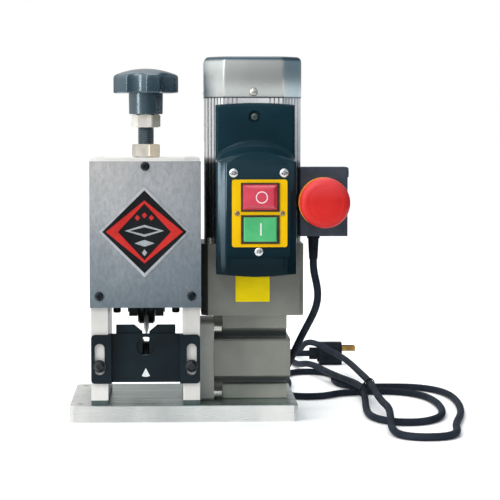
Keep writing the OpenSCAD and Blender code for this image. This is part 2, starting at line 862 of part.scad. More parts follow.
module switch_box() {
    arch_mid = sbox_z + sbox_arch;
    arch_side = arch_mid - 11;
    deep_back = sbox_y1 - sbox_thin;
    slope = sbox_bevel + 4;
    color([0.1, 0.17, 0.2]) difference() {
        union() {
            front_slab(sbox_y1, sbox_thin) sbox_outline(0, 0, sbox_z + sbox_h - 2, sbox_z + sbox_h);
            front_slab(deep_back, sbox_d - sbox_thin - slope) sbox_outline(0, 0, arch_side, arch_mid);
            hull() {
                front_slab(deep_back, 0.01) sbox_outline(0, 0, arch_side + 5, arch_mid + 9);
                front_slab(deep_back - 9, 0.01) sbox_outline(0, 0, arch_side, arch_mid);
            }
            hull() {
                front_slab(sbox_y0 + slope, 0.01) sbox_outline(0, 0, arch_side, arch_mid);
                front_slab(sbox_y0 + 0.01, 0.01) sbox_outline(sbox_bevel, 1, arch_side, arch_mid);
            }
        }
        front_slab(sbox_y1 - 4, sbox_d) translate([window_x, splate_z])
            square([window_w + 2, splate_h - 4], center = true);
        to_front(box_screw_x, box_screw_y, box_screw_z) cylinder(h = sbox_thin, d = panel_screw_head + 3);
    }
}

box_screw_x = sbox_x - 0.6;
box_screw_y = sbox_y1 - sbox_thin + 3;
box_screw_z = sbox_z + sbox_h - 14;

module switch_panel() {
    color([0.12, 0.2, 0.23]) front_slab(sbox_y0, panel_t) difference() {
        translate([panel_x, panel_z]) rounded_rect(panel_w, panel_h, 3);
        translate([window_x, splate_z]) square([window_w + 2, splate_h - 4], center = true);
    }
}

// Screws of the front panel and of the yellow plate, as [x, z] from the panel's middle
panel_screw_xz = [[-panel_w / 2 + 6.2, panel_h / 2 - 8], [panel_w / 2 - 6.2, panel_h / 2 - 8],
                  [0, -panel_h / 2 + 5.4]];
panel_screw_head = 9.2;
panel_screw_h = 2.4;
plate_screw_head = 5.2;
plate_screw_h = 1.6;
plate_screw_x = splate_w / 2 - plate_screw_head;
splate_z = panel_z - 2.2;
splate_t = 2;
splate_y = sbox_y0 - panel_t;
window_w = 38.4;
window_h = 28.6;
window_gap = 3.4;

module panel_screws() {
    color("silver") {
        for (p = panel_screw_xz) to_front(panel_x + p[0], sbox_y0 - panel_t, panel_z + p[1])
            button_head(panel_screw_head, panel_screw_h, 3);
        for (s = [-1, 1]) to_front(splate_x + s * plate_screw_x, splate_y - splate_t, splate_z)
            button_head(plate_screw_head, plate_screw_h, 2);
        to_front(box_screw_x, box_screw_y, box_screw_z) button_head(panel_screw_head, panel_screw_h, 3);
    }
}

module window_places() {
    for (s = [-1, 1]) translate([window_x, splate_z + s * (window_h + window_gap) / 2]) children();
}

module switch_plate() {
    color("gold") front_slab(splate_y, splate_t) difference() {
        translate([splate_x, splate_z]) rounded_rect(splate_w, splate_h, 2.5);
        window_places() square([window_w, window_h], center = true);
    }
}

// Button sizes, and the walls of the switch body round them
button_w = 33;
button_h = 24.4;
bezel_y = splate_y - splate_t - 1;

module switch_body() {
    depth = 30;
    color("black") difference() {
        union() {
            translate([window_x - window_w / 2, splate_y, splate_z - splate_h / 2 + 3])
                cube([window_w, depth, splate_h - 6]);
            front_slab(splate_y, splate_y - bezel_y) window_places()
                square([window_w, window_h], center = true);
        }
        front_slab(splate_y + 12, 20) window_places()
            square([button_w + 2 * slip, button_h + 2 * slip], center = true);
    }
}

// A button's face stands out before the bezel, on sides that slant in over the last stretch
module button_at(s, out, slant, narrow, shift) {
    back = splate_y + 12 - button_travel - slip;
    face = bezel_y - out;
    translate([window_x, 0, splate_z + s * (window_h + window_gap) / 2]) {
        front_slab(back, back - face - slant) square([button_w, button_h], center = true);
        hull() {
            front_slab(face + slant, 0.01) square([button_w, button_h], center = true);
            front_slab(face + 0.01, 0.01) translate([shift, 0])
                square([button_w - narrow, button_h - narrow * 0.7], center = true);
        }
    }
}

module stop_button() {
    color("crimson") button_at(1, 4, 2.6, 10, 1.3);
}

module start_button() {
    color("seagreen") button_at(-1, 1, 1, 2.4, 0);
}

// Emergency stop

nipple_l = 3.5;
nipple_d = 16;
ebox_rise = 39.9;
ebox_clear = 3.05;
ebox_x0 = sbox_x + sbox_w / 2 + nipple_l;
ebox_mid = ebox_x0 + ebox_w / 2;
ebox_z0 = sbox_z + ebox_rise;
ebox_y1 = motor_front + (ebox_x0 - motor_x) - motor_flat / 2 - ebox_clear;
ebox_y0 = ebox_y1 - ebox_d;
knob_x = ebox_mid - 0.75;
knob_z = ebox_z0 + ebox_h / 2 - 0.2;
stem_d = 24;
head_l = 22;
collar_gap = 1.5;
collar_l = mushroom_out - mushroom_travel - head_l - collar_gap;
head_back = ebox_y0 - mushroom_out + head_l;

module estop_box() {
    wall = 3;
    color([0.17, 0.2, 0.24]) difference() {
        translate([ebox_mid, ebox_y0 + ebox_d / 2, ebox_z0]) linear_extrude(ebox_h)
            rounded_rect(ebox_w, ebox_d, 2);
        translate([ebox_x0 + wall, ebox_y0 + wall, ebox_z0 + wall])
            cube([ebox_w - 2 * wall, ebox_d - 2 * wall, ebox_h - 2 * wall]);
        to_front(knob_x, ebox_y0 + wall + over, knob_z) cylinder(h = wall + 2 * over, d = stem_d + 2 * slip);
    }
}

module estop_collar() {
    color("orange") to_front(knob_x, ebox_y0, knob_z) difference() {
        cylinder(h = collar_l, d1 = mushroom_d - 4, d2 = mushroom_d);
        translate([0, 0, -over]) cylinder(h = collar_l + 2 * over, d = stem_d + 2 * run);
    }
}

spigot_d = 12;
spigot_l = 8;

module estop_stem() {
    color("dimgray") to_front(knob_x, ebox_y0 + 22, knob_z) {
        cylinder(h = ebox_y0 + 22 - head_back - slip, d = stem_d);
        cylinder(h = ebox_y0 + 22 - head_back + spigot_l, d = spigot_d);
    }
}

module estop_head() {
    r = mushroom_d / 2;
    t = head_l;
    color("red") to_front(knob_x, head_back, knob_z) difference() {
        rotate_extrude() polygon([[0, 0], [r * 0.66, 0], [r * 0.72, t * 0.3], [r * 0.96, t * 0.4],
            [r, t * 0.55], [r, t * 0.72], [r * 0.97, t * 0.84], [r * 0.9, t * 0.93],
            [r * 0.8, t * 0.975], [r * 0.6, t], [0, t]]);
        translate([0, 0, -over]) cylinder(h = spigot_l + slip + over, d = spigot_d + 2 * run);
    }
}

module box_nipple() {
    x0 = sbox_x + sbox_w / 2;
    color("black") bar_x(x0, ebox_y0 + nipple_d * 0.75, knob_z, nipple_l, nipple_d);
}

module side_boss() {
    color("black") bar_x(ebox_x0 + ebox_w, ebox_y0 + ebox_d - 9, ebox_z0 + ebox_h - 6, 3.2, 10);
}

cord_exit_x = ebox_mid - 8.8;
cord_exit_y = ebox_y0 + 21.5;

module cord_gland() {
    color("black") translate([cord_exit_x, cord_exit_y, ebox_z0 - relief_l]) {
        cylinder(h = relief_l - 3, d1 = cord_d + 1.2, d2 = 11);
        translate([0, 0, relief_l - 3]) cylinder(h = 3, d = 13);
    }
}

label_w = 34.7;
label_h = 30;
label_t = 0.4;
label_rise = 14;
label_x = motor_x - 18.2;

module plain_label() {
    front = drive_y - gearhead_d / 2;
    color("yellow") front_slab(front, label_t) translate([label_x, gearhead_z + label_rise])
        square([label_w, label_h]);
}

// Feed shaft and roller

module feed_shaft() {
    x0 = left_in - bearing_w - 2;
    x1 = box_x0 + bore_depth - 1;
    color("silver") bar_x(x0, drive_y, shaft_z, x1 - x0, shaft_d);
}

module feed_roller() {
    r = roller_d / 2;
    tooth = 360 / roller_teeth;
    color("slategray") translate([head_x - roller_w / 2, drive_y, shaft_z]) rotate([0, 90, 0]) difference() {
        linear_extrude(roller_w) polygon([for (i = [0:2 * roller_teeth - 1])
            let (a = i * tooth / 2, rr = i % 2 == 0 ? r : r - tooth_depth) [rr * cos(a), rr * sin(a)]]);
        translate([0, 0, -over]) cylinder(h = roller_w + 2 * over, d = shaft_d);
        translate([0, 0, roller_w / 2]) rotate_extrude() polygon([[r - groove_depth, -groove_w / 2 + 2],
            [r + over, -groove_w / 2 - 1], [r + over, groove_w / 2 + 1], [r - groove_depth, groove_w / 2 - 2]]);
    }
}

// Blade carriage

keeper_t = 4;
keeper_w = 40;
keeper_d = 30;
socket_depth = 14;
neck_d = screw_d - 4;

module blade_carriage() {
    body_w = head_w - 2 * plate_t - 1;
    color("dimgray") difference() {
        union() {
            translate([head_x - body_w / 2, drive_y - carriage_d / 2, carriage_z])
                cube([body_w, carriage_d, carriage_h]);
            translate([head_x - fork_w / 2, drive_y - fork_d / 2, fork_z])
                cube([fork_w, fork_d, carriage_z - fork_z + over]);
        }
        translate([head_x - hub_w / 2 - slip, drive_y - fork_d / 2 - over, fork_z - over])
            cube([hub_w + 2 * slip, fork_d + 2 * over, blade_z + blade_d / 2 + 2 - fork_z + over]);
        bar_x(head_x - fork_w / 2 - over, drive_y, blade_z, fork_w + 2 * over, axle_d);
        rod_places() translate([0, 0, carriage_z - over])
            cylinder(h = carriage_h + 2 * over, d = rod_d + 2 * run);
        translate([head_x, drive_y, carriage_top - socket_depth])
            cylinder(h = socket_depth + over, d = screw_d + 2 * run);
        keeper_screw_places() translate([0, 0, -8]) cylinder(h = 8 + over, d = 4);
    }
}

module keeper_screw_places() {
    for (s = [-1, 1]) translate([head_x + s * (keeper_w / 2 - 5), drive_y, carriage_top]) children();
}

// Slotted plate that holds the screw's neck, with its two screws
module screw_keeper() {
    color("silver") {
        difference() {
            translate([head_x - keeper_w / 2, drive_y - keeper_d / 2, carriage_top])
                cube([keeper_w, keeper_d, keeper_t]);
            translate([head_x, drive_y, carriage_top - over])
                cylinder(h = keeper_t + 2 * over, d = neck_d + 2 * slip);
            translate([head_x - neck_d / 2 - slip, drive_y, carriage_top - over])
                cube([neck_d + 2 * slip, keeper_d, keeper_t + 2 * over]);
            keeper_screw_places() translate([0, 0, -over]) cylinder(h = keeper_t + 2 * over, d = 4);
        }
        keeper_screw_places() {
            translate([0, 0, -7.5]) cylinder(h = 7.5 + keeper_t, d = 4);
            translate([0, 0, keeper_t]) cap_head(7, 4, 3);
        }
    }
}

module blade_axle() {
    color("silver") {
        bar_x(head_x - fork_w / 2, drive_y, blade_z, fork_w, axle_d);
        for (x0 = [head_x - fork_w / 2 - 1.5, head_x + fork_w / 2])
            bar_x(x0, drive_y, blade_z, 1.5, axle_d + 4);
    }
}

module round_blade() {
    r = blade_d / 2;
    bore = axle_d / 2 + run;
    color("lightsteelblue") translate([head_x, drive_y, blade_z]) rotate([0, 90, 0])
        rotate_extrude() polygon([[bore, -blade_t / 2], [r - 8, -blade_t / 2], [r, -0.15],
            [r, 0.15], [r - 8, blade_t / 2], [bore, blade_t / 2]]);
}

module blade_collars() {
    r = collar_d / 2;
    bore = axle_d / 2 + run;
    t = (hub_w - blade_t) / 2;
    color("dimgray") for (s = [-1, 1])
        translate([head_x + s * blade_t / 2, drive_y, blade_z]) rotate([0, s * 90, 0])
            rotate_extrude() polygon([[bore, 0], [r, 0], [r, t - 2], [r - 2, t], [bore, t]]);
}

// Pressure screw, its nuts and knob

lock_z = head_top + slip;
knob_nut_z = lock_z + nut_t + screw_bare;
knob_hub_z = knob_nut_z + nut_t;
knob_head_z = knob_hub_z + knob_hub_h;

module pressure_screw() {
    low = carriage_top - socket_depth + slip;
    color("darkslategray") translate([head_x, drive_y, 0]) {
        translate([0, 0, low]) cylinder(h = carriage_top - slip - low, d = screw_d);
        translate([0, 0, carriage_top - slip]) cylinder(h = keeper_t + 2 * slip, d = neck_d);
        translate([0, 0, carriage_top + keeper_t + slip])
            cylinder(h = knob_hub_z + 12 - carriage_top - keeper_t - slip, d = screw_d);
    }
}

module screw_nut(z, turn, bore) {
    translate([head_x, drive_y, z]) rotate(turn) difference() {
        intersection() {
            hex_prism(nut_af, nut_t);
            rotate_extrude() polygon([[0, 0], [nut_af / 2, 0], [nut_af / 2 + 2.2, 1.3],
                [nut_af / 2 + 2.2, nut_t - 1.3], [nut_af / 2, nut_t], [0, nut_t]]);
        }
        translate([0, 0, -over]) cylinder(h = nut_t + 2 * over, d = bore);
    }
}

module knob_nut() {
    color("beige") screw_nut(knob_nut_z, -2, screw_d);
}

module lock_nut() {
    color("beige") screw_nut(lock_z, -13, screw_d + 2 * run);
}

// Finger flutes of the knob: their radius, and how deep they cut into the rim
flute_r = 14;
flute_depth = 5.5;

module knob() {
    r = knob_d / 2;
    h = knob_rim_h;
    top = h + knob_dome_h;
    color("darkslategray") translate([head_x, drive_y, knob_hub_z]) difference() {
        union() {
            cylinder(h = knob_hub_h + 2, d1 = knob_hub_d - 1, d2 = knob_hub_d);
            translate([0, 0, knob_hub_h]) intersection() {
                linear_extrude(top) difference() {
                    circle(r);
                    for (i = [0:knob_flutes - 1]) rotate(360 * (i + 0.5) / knob_flutes)
                        translate([r + flute_r - flute_depth, 0]) circle(flute_r);
                }
                rotate_extrude() polygon([[0, 0], [r - 2, 0], [r - 0.5, 0.6], [r, 2], [r, h - 3],
                    [r - 0.8, h - 1], [r - 4, h + 1], [r * 0.6, h + knob_dome_h * 0.62],
                    [r * 0.3, h + knob_dome_h * 0.92], [0, top]]);
            }
        }
        translate([0, 0, -over]) cylinder(h = 12 + over, d = screw_d);
    }
}

// Wire guide

wall_out = (head_w - 2 * plate_t) / 2 - slip;

module wire_guide() {
    ear_l = head_w / 2 - wall_out + guide_t;
    color([0.1, 0.16, 0.19]) difference() {
        union() {
            front_slab(guide_back, guide_t) for (s = [-1, 1])
                translate([head_x + s * (head_w / 2 - ear_l / 2), (guide_z0 + guide_z1) / 2])
                    rounded_ear(ear_l, guide_h, guide_corner, s);
            for (s = [-1, 1])
                translate([head_x + s * (wall_out - guide_t / 2) - guide_t / 2, guide_front, guide_z0])
                    cube([guide_t, guide_step + guide_t, guide_h]);
            translate([head_x - wall_out, panel_y, guide_z0])
                cube([2 * wall_out, guide_t, guide_h]);
        }
        for (s = [-1, 1]) front_slab(guide_back + over, guide_t + 2 * over)
            translate([head_x + s * plate_mid, slot_z0 + slot_w / 2]) {
                circle(d = slot_w);
                translate([0, slot_l - slot_w]) circle(d = slot_w);
                translate([-slot_w / 2, 0]) square([slot_w, slot_l - slot_w]);
            }
        to_front(head_x, panel_y + guide_t + over, wire_z) cylinder(h = guide_t + 2 * over, d = wire_hole_d);
    }
}

// An ear of the guide, rounded on its outer corners
module rounded_ear(w, h, r, s) {
    rounded_rect(w, h, r);
    translate([-s * w / 4, 0]) square([w / 2, h], center = true);
}

// Slit in the block from its notch down past the wire hole
slit_w = 7;

module guide_block() {
    top = guide_z1 + block_rise;
    slit_z0 = wire_z - wire_hole_d / 2;
    low = slit_z0 - 6;
    color("black") front_slab(panel_y + guide_t + block_t, block_t) difference() {
        polygon([[head_x - block_w / 2, low], [head_x + block_w / 2, low], [head_x + block_w / 2, top],
            [head_x + notch_w / 2, top], [head_x, top - notch_depth], [head_x - notch_w / 2, top],
            [head_x - block_w / 2, top]]);
        translate([head_x - slit_w / 2, slit_z0]) square([slit_w, top - notch_depth / 2 - slit_z0]);
    }
}

// Mains lead: a lead that hangs from its gland, lies in a tied hank and ends in a plug

cord_start = [cord_exit_x, cord_exit_y, ebox_z0 - relief_l];
plug_x = 172;
plug_y = 405;
neck_l = 12;
neck_z = 14;
cord_route = [cord_start, cord_start + [0, 0, -13], [137, -62, 132], [137, -48, 114], [131, -28, 97],
    [123, -8, 78], [115, 20, 54], [109, 55, 33], [105, 90, 24], [98, 130, 10], [90, 180, 4],
    [82, 255, 4], [78, 340, 4], [77, 410, 4], [79, 457, 4], [88, 478, 4], [109, 487, 4], [130, 478, 4],
    [139, 457, 4], [138, 400, 4], [143, 350, 6], [151, 310, 13], [160, 275, 13], [167, 240, 12],
    [173, 205, 12], [182, 165, 12], [191, 130, 12], [196, 95, 12], [196, 55, 8], [193, 15, 4],
    [189, -35, 4], [188, -85, 4], [205, -122, 4], [236, -126, 4], [261, -90, 4], [269, -30, 4],
    [270, 25, 4], [264, 78, 4], [242, 110, 4], [215, 115, 4], [190, 106, 4], [170, 100, 4], [160, 82, 4],
    [142, 71, 4], [120, 75, 4], [109, 96, 4], [112, 125, 4], [119, 160, 4], [123, 208, 4], [118, 260, 4],
    [132, 299, 4], [167, 299, 4], [181, 260, 4], [174, 215, 4], [178, 175, 4], [196, 152, 4],
    [228, 154, 4], [264, 152, 4], [289, 115, 4], [294, 55, 4], [290, -20, 4], [280, -85, 4],
    [266, -140, 4], [263, -195, 4], [247, -220, 4], [215, -221, 4], [198, -195, 4], [203, -140, 9],
    [206, -100, 16], [205, -50, 13], [204, 10, 15], [203, 71, 20], [201, 130, 20], [202, 190, 17],
    [202, 260, 15], [196, 318, 18], [180, 355, 24], [162, 395, 31], [154, 440, 22], [153, 478, 8],
    [142, 507, 4], [115, 516, 4], [92, 500, 10], [86, 465, 16], [92, 430, 14], [112, plug_y, neck_z],
    [138, plug_y, neck_z], [plug_x - neck_l, plug_y, neck_z]];

// The route's points, pulled into a smooth curve that keeps both ends
function smoothed(p) =
    let (last = len(p) - 1)
    [for (i = [0:last]) i == 0 || i == last ? p[i] : (p[i - 1] + 4 * p[i] + p[i + 1]) / 6];

module cord() {
    color([0.12, 0.14, 0.16]) tube_on(smoothed(cord_route), cord_d / 2, 10);
}

// Twist tie round the two strands that pass one above the other
tie_y = 71;
tie_low = [195.4, 9.2];
tie_high = [202.8, 19.1];
tie_w = 4;
tie_t = 1;

module tie_loop(r) {
    lean = atan2(tie_high[1] - tie_low[1], tie_high[0] - tie_low[0]);
    reach = norm(tie_high - tie_low);
    translate(tie_low) rotate(lean) {
        circle(r);
        translate([reach, 0]) circle(r);
        translate([0, -r]) square([reach, 2 * r]);
    }
}

module cord_tie() {
    r = cord_d / 2 + 0.2 + slip;
    color("black") {
        front_slab(tie_y, tie_w) difference() {
            tie_loop(r + tie_t);
            tie_loop(r);
        }
    }
}

plug_l = 28;
plug_w = 26;
plug_h = 28;
pin_z = 20.6;
pin_l = 23;

module plug_body() {
    color("black") difference() {
        union() {
            side_slab(plug_x, plug_l) translate([plug_y, plug_h / 2]) chamfered_rect(plug_w, plug_h, 5);
            bar_x(plug_x - neck_l, plug_y, neck_z, neck_l + 1, 15);
            side_slab(plug_x - 2, 3) translate([plug_y, neck_z]) chamfered_rect(20, 20, 5);
        }
        plug_pin_places() translate([plug_l - 6, 0, 0]) pin_blank(pin_l - 3, 0);
    }
}

module plug_pin_places() {
    for (s = [-1, 1]) translate([plug_x, plug_y + s * 6.35, pin_z]) children();
}

module pin_blank(l, grow) {
    translate([0, -0.75 - grow, -3.2 - grow]) cube([l, 1.5 + 2 * grow, 6.4 + 2 * grow]);
}

module plug_pins() {
    color("goldenrod") plug_pin_places() translate([plug_l - 6, 0, 0]) pin_blank(pin_l, 0);
}

base_plate();
frame_screws();
foot_strips();
left_side_plate();
right_side_plate();
top_plate();
front_cover();
rear_cover();
cover_screws();
badge();
guide_rods();
rod_nuts();
return_springs();
bearings();
guide_screws();
gearbox_flange();
flange_bolts();
right_angle_gearbox();
gearhead();
lower_flange();
motor_bolts();
motor_body();
stator();
motor_cap();
cap_screws();
switch_box();
switch_panel();
panel_screws();
switch_plate();
switch_body();
estop_box();
estop_collar();
box_nipple();
side_boss();
cord_gland();
plain_label();
motor_shaft();
rotor_core();
cooling_fan();
feed_shaft();
feed_roller();
blade_carriage();
screw_keeper();
blade_axle();
round_blade();
blade_collars();
pressure_screw();
knob_nut();
knob();
lock_nut();
wire_guide();
guide_block();
stop_button();
start_button();
estop_stem();
estop_head();
cord();
cord_tie();
plug_body();
plug_pins();
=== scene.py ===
import math

import bmesh
import bpy
from mathutils import Matrix, Vector


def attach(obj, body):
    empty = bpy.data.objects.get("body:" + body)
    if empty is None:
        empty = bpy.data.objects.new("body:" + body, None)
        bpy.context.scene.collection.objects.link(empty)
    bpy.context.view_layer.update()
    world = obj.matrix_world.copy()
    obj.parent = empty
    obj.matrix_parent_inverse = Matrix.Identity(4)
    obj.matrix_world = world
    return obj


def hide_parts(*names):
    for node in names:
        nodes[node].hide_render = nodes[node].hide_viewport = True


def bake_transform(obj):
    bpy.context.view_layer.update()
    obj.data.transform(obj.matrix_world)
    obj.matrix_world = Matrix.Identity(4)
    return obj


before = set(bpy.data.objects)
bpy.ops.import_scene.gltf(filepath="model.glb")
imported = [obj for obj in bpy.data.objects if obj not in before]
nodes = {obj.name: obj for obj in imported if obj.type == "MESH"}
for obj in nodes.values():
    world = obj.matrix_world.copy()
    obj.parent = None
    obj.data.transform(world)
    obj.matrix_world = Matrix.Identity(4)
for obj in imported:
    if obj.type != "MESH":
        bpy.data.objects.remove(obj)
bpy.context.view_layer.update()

scene = bpy.context.scene


# Camera

# The photograph was taken with a long lens from the height of the head,
# turned a little to the right and slightly down.
camera_data = bpy.data.cameras.new("camera")
camera_data.lens = 144
camera_data.sensor_width = 36
camera_data.clip_end = 50
camera = bpy.data.objects.new("camera", camera_data)
camera.location = (-0.01155, -2.0875, 0.2935)
camera.rotation_euler = (math.radians(90 - 3.43), 0, math.radians(-2.23))
scene.collection.objects.link(camera)
scene.camera = camera
scene.view_settings.view_transform = "Standard"


# Floor

# A plain pale sheet under the machine that widens towards the back. It glows more
# behind the machine than before it, so that only the soft shadow close by is left.
def srgb(r, g, b):
    """A colour as the eye reads it, 0 to 255, turned into linear values."""
    linear = [c / 255 / 12.92 if c <= 10 else ((c / 255 + 0.055) / 1.055) ** 2.4 for c in (r, g, b)]
    return (*linear, 1)


def material(name, color, roughness, metallic=0.0):
    """A Principled material, returned with its tree, its shader and its object coordinates."""
    made = bpy.data.materials.new(name)
    made.use_nodes = True
    tree = made.node_tree
    shader = tree.nodes["Principled BSDF"]
    shader.inputs["Base Color"].default_value = color
    shader.inputs["Roughness"].default_value = roughness
    shader.inputs["Metallic"].default_value = metallic
    return made, tree, shader, tree.nodes.new("ShaderNodeTexCoord").outputs["Object"]


def noise(tree, place, scale, stretch=(1, 1, 1), detail=4.0, rough=0.55):
    """Noise over object space, finer or coarser along each axis."""
    fit = tree.nodes.new("ShaderNodeMapping")
    fit.inputs["Scale"].default_value = stretch
    tree.links.new(place, fit.inputs["Vector"])
    made = tree.nodes.new("ShaderNodeTexNoise")
    made.inputs["Scale"].default_value = scale
    made.inputs["Detail"].default_value = detail
    made.inputs["Roughness"].default_value = rough
    tree.links.new(fit.outputs["Vector"], made.inputs["Vector"])
    return made.outputs["Fac"]


def ramp(tree, value, stops):
    """A colour ramp from (place, colour) pairs."""
    made = tree.nodes.new("ShaderNodeValToRGB")
    band = made.color_ramp
    while len(band.elements) < len(stops):
        band.elements.new(0.5)
    for element, (at, color) in zip(band.elements, stops):
        element.position = at
        element.color = color
    tree.links.new(value, made.inputs["Fac"])
    return made.outputs["Color"]


def scaled(tree, value, low, high, to_low=0.0, to_high=1.0):
    """A value between low and high turned into one between to_low and to_high."""
    made = tree.nodes.new("ShaderNodeMapRange")
    for socket, number in (("From Min", low), ("From Max", high), ("To Min", to_low), ("To Max", to_high)):
        made.inputs[socket].default_value = number
    tree.links.new(value, made.inputs["Value"])
    return made.outputs["Result"]


def part_of(tree, place, axis):
    """One axis of a vector, such as the height in object space, in metres."""
    parts = tree.nodes.new("ShaderNodeSeparateXYZ")
    tree.links.new(place, parts.inputs["Vector"])
    return parts.outputs[axis]


floor_mesh = bpy.data.meshes.new("floor")
bm = bmesh.new()
bm.faces.new([bm.verts.new(corner) for corner in
              ((-1.2, -0.62, 0), (1.2, -0.62, 0), (1.2, 1, 0), (15, 60, 0), (-10, 60, 0), (-1.2, 1, 0))])
bm.to_mesh(floor_mesh)
bm.free()
floor = bpy.data.objects.new("floor", floor_mesh)
scene.collection.objects.link(floor)
floor_paint, tree, shader, place = material("pale floor", srgb(250, 250, 250), 0.9)
tree.links.new(ramp(tree, noise(tree, place, 3), [(0.3, srgb(249, 249, 249)), (0.7, srgb(252, 252, 252))]),
               shader.inputs["Base Color"])
shader.inputs["Specular IOR Level"].default_value = 0
shader.inputs["Emission Color"].default_value = (1, 1, 1, 1)
tree.links.new(scaled(tree, part_of(tree, place, "Y"), -0.16, 0.1, 0.04, 0.17),
               shader.inputs["Emission Strength"])
floor_mesh.materials.append(floor_paint)


# Studio light

# A white backdrop, and a soft room that is bright at the upper left and dim at the
# right. Three soft lamps, and a tall strip lamp that the glossy border and knob mirror.
def grey(value):
    """A neutral colour, or a plain value on a colour ramp."""
    return value, value, value, 1


def fade(tree, place, axis, low, high):
    """0 to 1 along one axis of a vector, such as object space in metres."""
    return scaled(tree, part_of(tree, place, axis), low, high)


def blended(tree, factor, first, second, kind="MIX"):
    """Two colours mixed. The factor and the colours are sockets or fixed values."""
    made = tree.nodes.new("ShaderNodeMix")
    made.data_type = "RGBA"
    made.blend_type = kind
    for socket, value in ((made.inputs["Factor"], factor), (made.inputs[6], first), (made.inputs[7], second)):
        if isinstance(value, (tuple, float)):
            socket.default_value = value
        else:
            tree.links.new(value, socket)
    return made.outputs[2]


def times(tree, first, second):
    """One colour multiplied by another."""
    return blended(tree, 1.0, first, second, "MULTIPLY")


world = bpy.data.worlds.new("studio")
scene.world = world
world.use_nodes = True
tree = world.node_tree
tree.nodes.clear()
sky = tree.nodes.new("ShaderNodeTexCoord").outputs["Generated"]
side_tone = ramp(tree, fade(tree, sky, "X", -1, 1), [
    (0.0, (0.85, 0.86, 0.87, 1)), (0.12, grey(0.62)), (0.3, (0.55, 0.55, 0.54, 1)), (0.42, grey(0.46)),
    (0.5, grey(0.43)), (0.62, (0.26, 0.27, 0.28, 1)), (0.82, (0.14, 0.17, 0.19, 1)),
    (1.0, (0.12, 0.17, 0.21, 1))])
height_tone = ramp(tree, fade(tree, sky, "Z", -1, 1), [
    (0.0, grey(0.2)), (0.46, grey(0.3)), (0.53, grey(0.45)), (0.75, grey(0.75)), (1.0, grey(1))])
room = tree.nodes.new("ShaderNodeBackground")
room.inputs["Strength"].default_value = 3.0
tree.links.new(times(tree, side_tone, height_tone), room.inputs["Color"])
backdrop = tree.nodes.new("ShaderNodeBackground")
backdrop.inputs["Color"].default_value = (1, 1, 1, 1)
rays = tree.nodes.new("ShaderNodeLightPath")
sees_backdrop = tree.nodes.new("ShaderNodeMath")
sees_backdrop.operation = "MAXIMUM"
tree.links.new(rays.outputs["Is Camera Ray"], sees_backdrop.inputs[0])
tree.links.new(rays.outputs["Is Transmission Ray"], sees_backdrop.inputs[1])
mix = tree.nodes.new("ShaderNodeMixShader")
tree.links.new(sees_backdrop.outputs[0], mix.inputs["Fac"])
tree.links.new(room.outputs[0], mix.inputs[1])
tree.links.new(backdrop.outputs[0], mix.inputs[2])
tree.links.new(mix.outputs[0], tree.nodes.new("ShaderNodeOutputWorld").inputs["Surface"])

for name, at, aim_height, width, height, watts in (
        ("key light", (-1.1, -2.1, 2.3), 0.15, 1.4, 1.4, 26),
        ("fill light", (1.9, -1.5, 1.3), 0.15, 1.6, 1.6, 3.2),
        ("back light", (0.1, 0.8, 2.7), 0.15, 1.5, 1.5, 14),
        ("strip light", (-1.66, -1.3, 0.8), 0.8, 0.3, 1.4, 16)):
    lamp = bpy.data.lights.new(name, "AREA")
    lamp.shape = "RECTANGLE"
    lamp.size = width
    lamp.size_y = height
    lamp.energy = watts
    lamp_object = bpy.data.objects.new(name, lamp)
    lamp_object.location = at
    lamp_object.rotation_euler = (Vector((0, 0, aim_height)) - Vector(at)).to_track_quat("-Z", "Y").to_euler()
    scene.collection.objects.link(lamp_object)


# Mains lead

# A black 7.5 mm rubber lead. It leaves the emergency stop box downwards, hangs behind
# the gearbox and lies in a tied hank on the floor, with its plug beside it.
def mm(x, y, z):
    """A point given in millimetres."""
    return Vector((x, y, z)) / 1000


def spread(tree, value, low, high):
    """Noise, which mostly stays between 0.3 and 0.7, spread over low to high."""
    return scaled(tree, value, 0.3, 0.7, low, high)


def bump(tree, shader, value, depth):
    """Relief of the given depth in metres."""
    made = tree.nodes.new("ShaderNodeBump")
    made.inputs["Distance"].default_value = depth
    tree.links.new(value, made.inputs["Height"])
    tree.links.new(made.outputs["Normal"], shader.inputs["Normal"])


def plain(name, dark, light, roughness, scale, metallic=0.0, stretch=(1, 1, 1), grain=0.00002, fine=900,
          shine=0.5):
    """A material that varies between two colours, with fine grain in relief and gloss."""
    made, tree, shader, place = material(name, light, roughness, metallic)
    shader.inputs["Specular IOR Level"].default_value = shine
    tree.links.new(ramp(tree, noise(tree, place, scale, stretch), [(0.3, dark), (0.7, light)]),
                   shader.inputs["Base Color"])
    small = noise(tree, place, fine, stretch)
    tree.links.new(spread(tree, small, max(roughness - 0.07, 0.03), roughness + 0.09),
                   shader.inputs["Roughness"])
    bump(tree, shader, small, grain)
    return made


def smooth_path(points, steps):
    """The route's points pulled into one smooth curve that keeps both ends."""
    held = [mm(*point) for point in points]
    held = [2 * held[0] - held[1]] + held + [2 * held[-1] - held[-2]]
    made = []
    for i in range(1, len(held) - 2):
        a, b, c, d = held[i - 1:i + 3]
        for k in range(steps):
            t = k / steps
            made.append(((1 - t) ** 3 * a + (3 * t ** 3 - 6 * t * t + 4) * b
                         + (-3 * t ** 3 + 3 * t * t + 3 * t + 1) * c + t ** 3 * d) / 6)
    return made + [held[-2]]


def bridged(bm, rings):
    """Rings of edges joined in order into a closed skin with filled ends."""
    for low, high in zip(rings, rings[1:]):
        bmesh.ops.bridge_loops(bm, edges=low + high)
    for end in (rings[0], rings[-1]):
        bmesh.ops.edgeloop_fill(bm, edges=end)


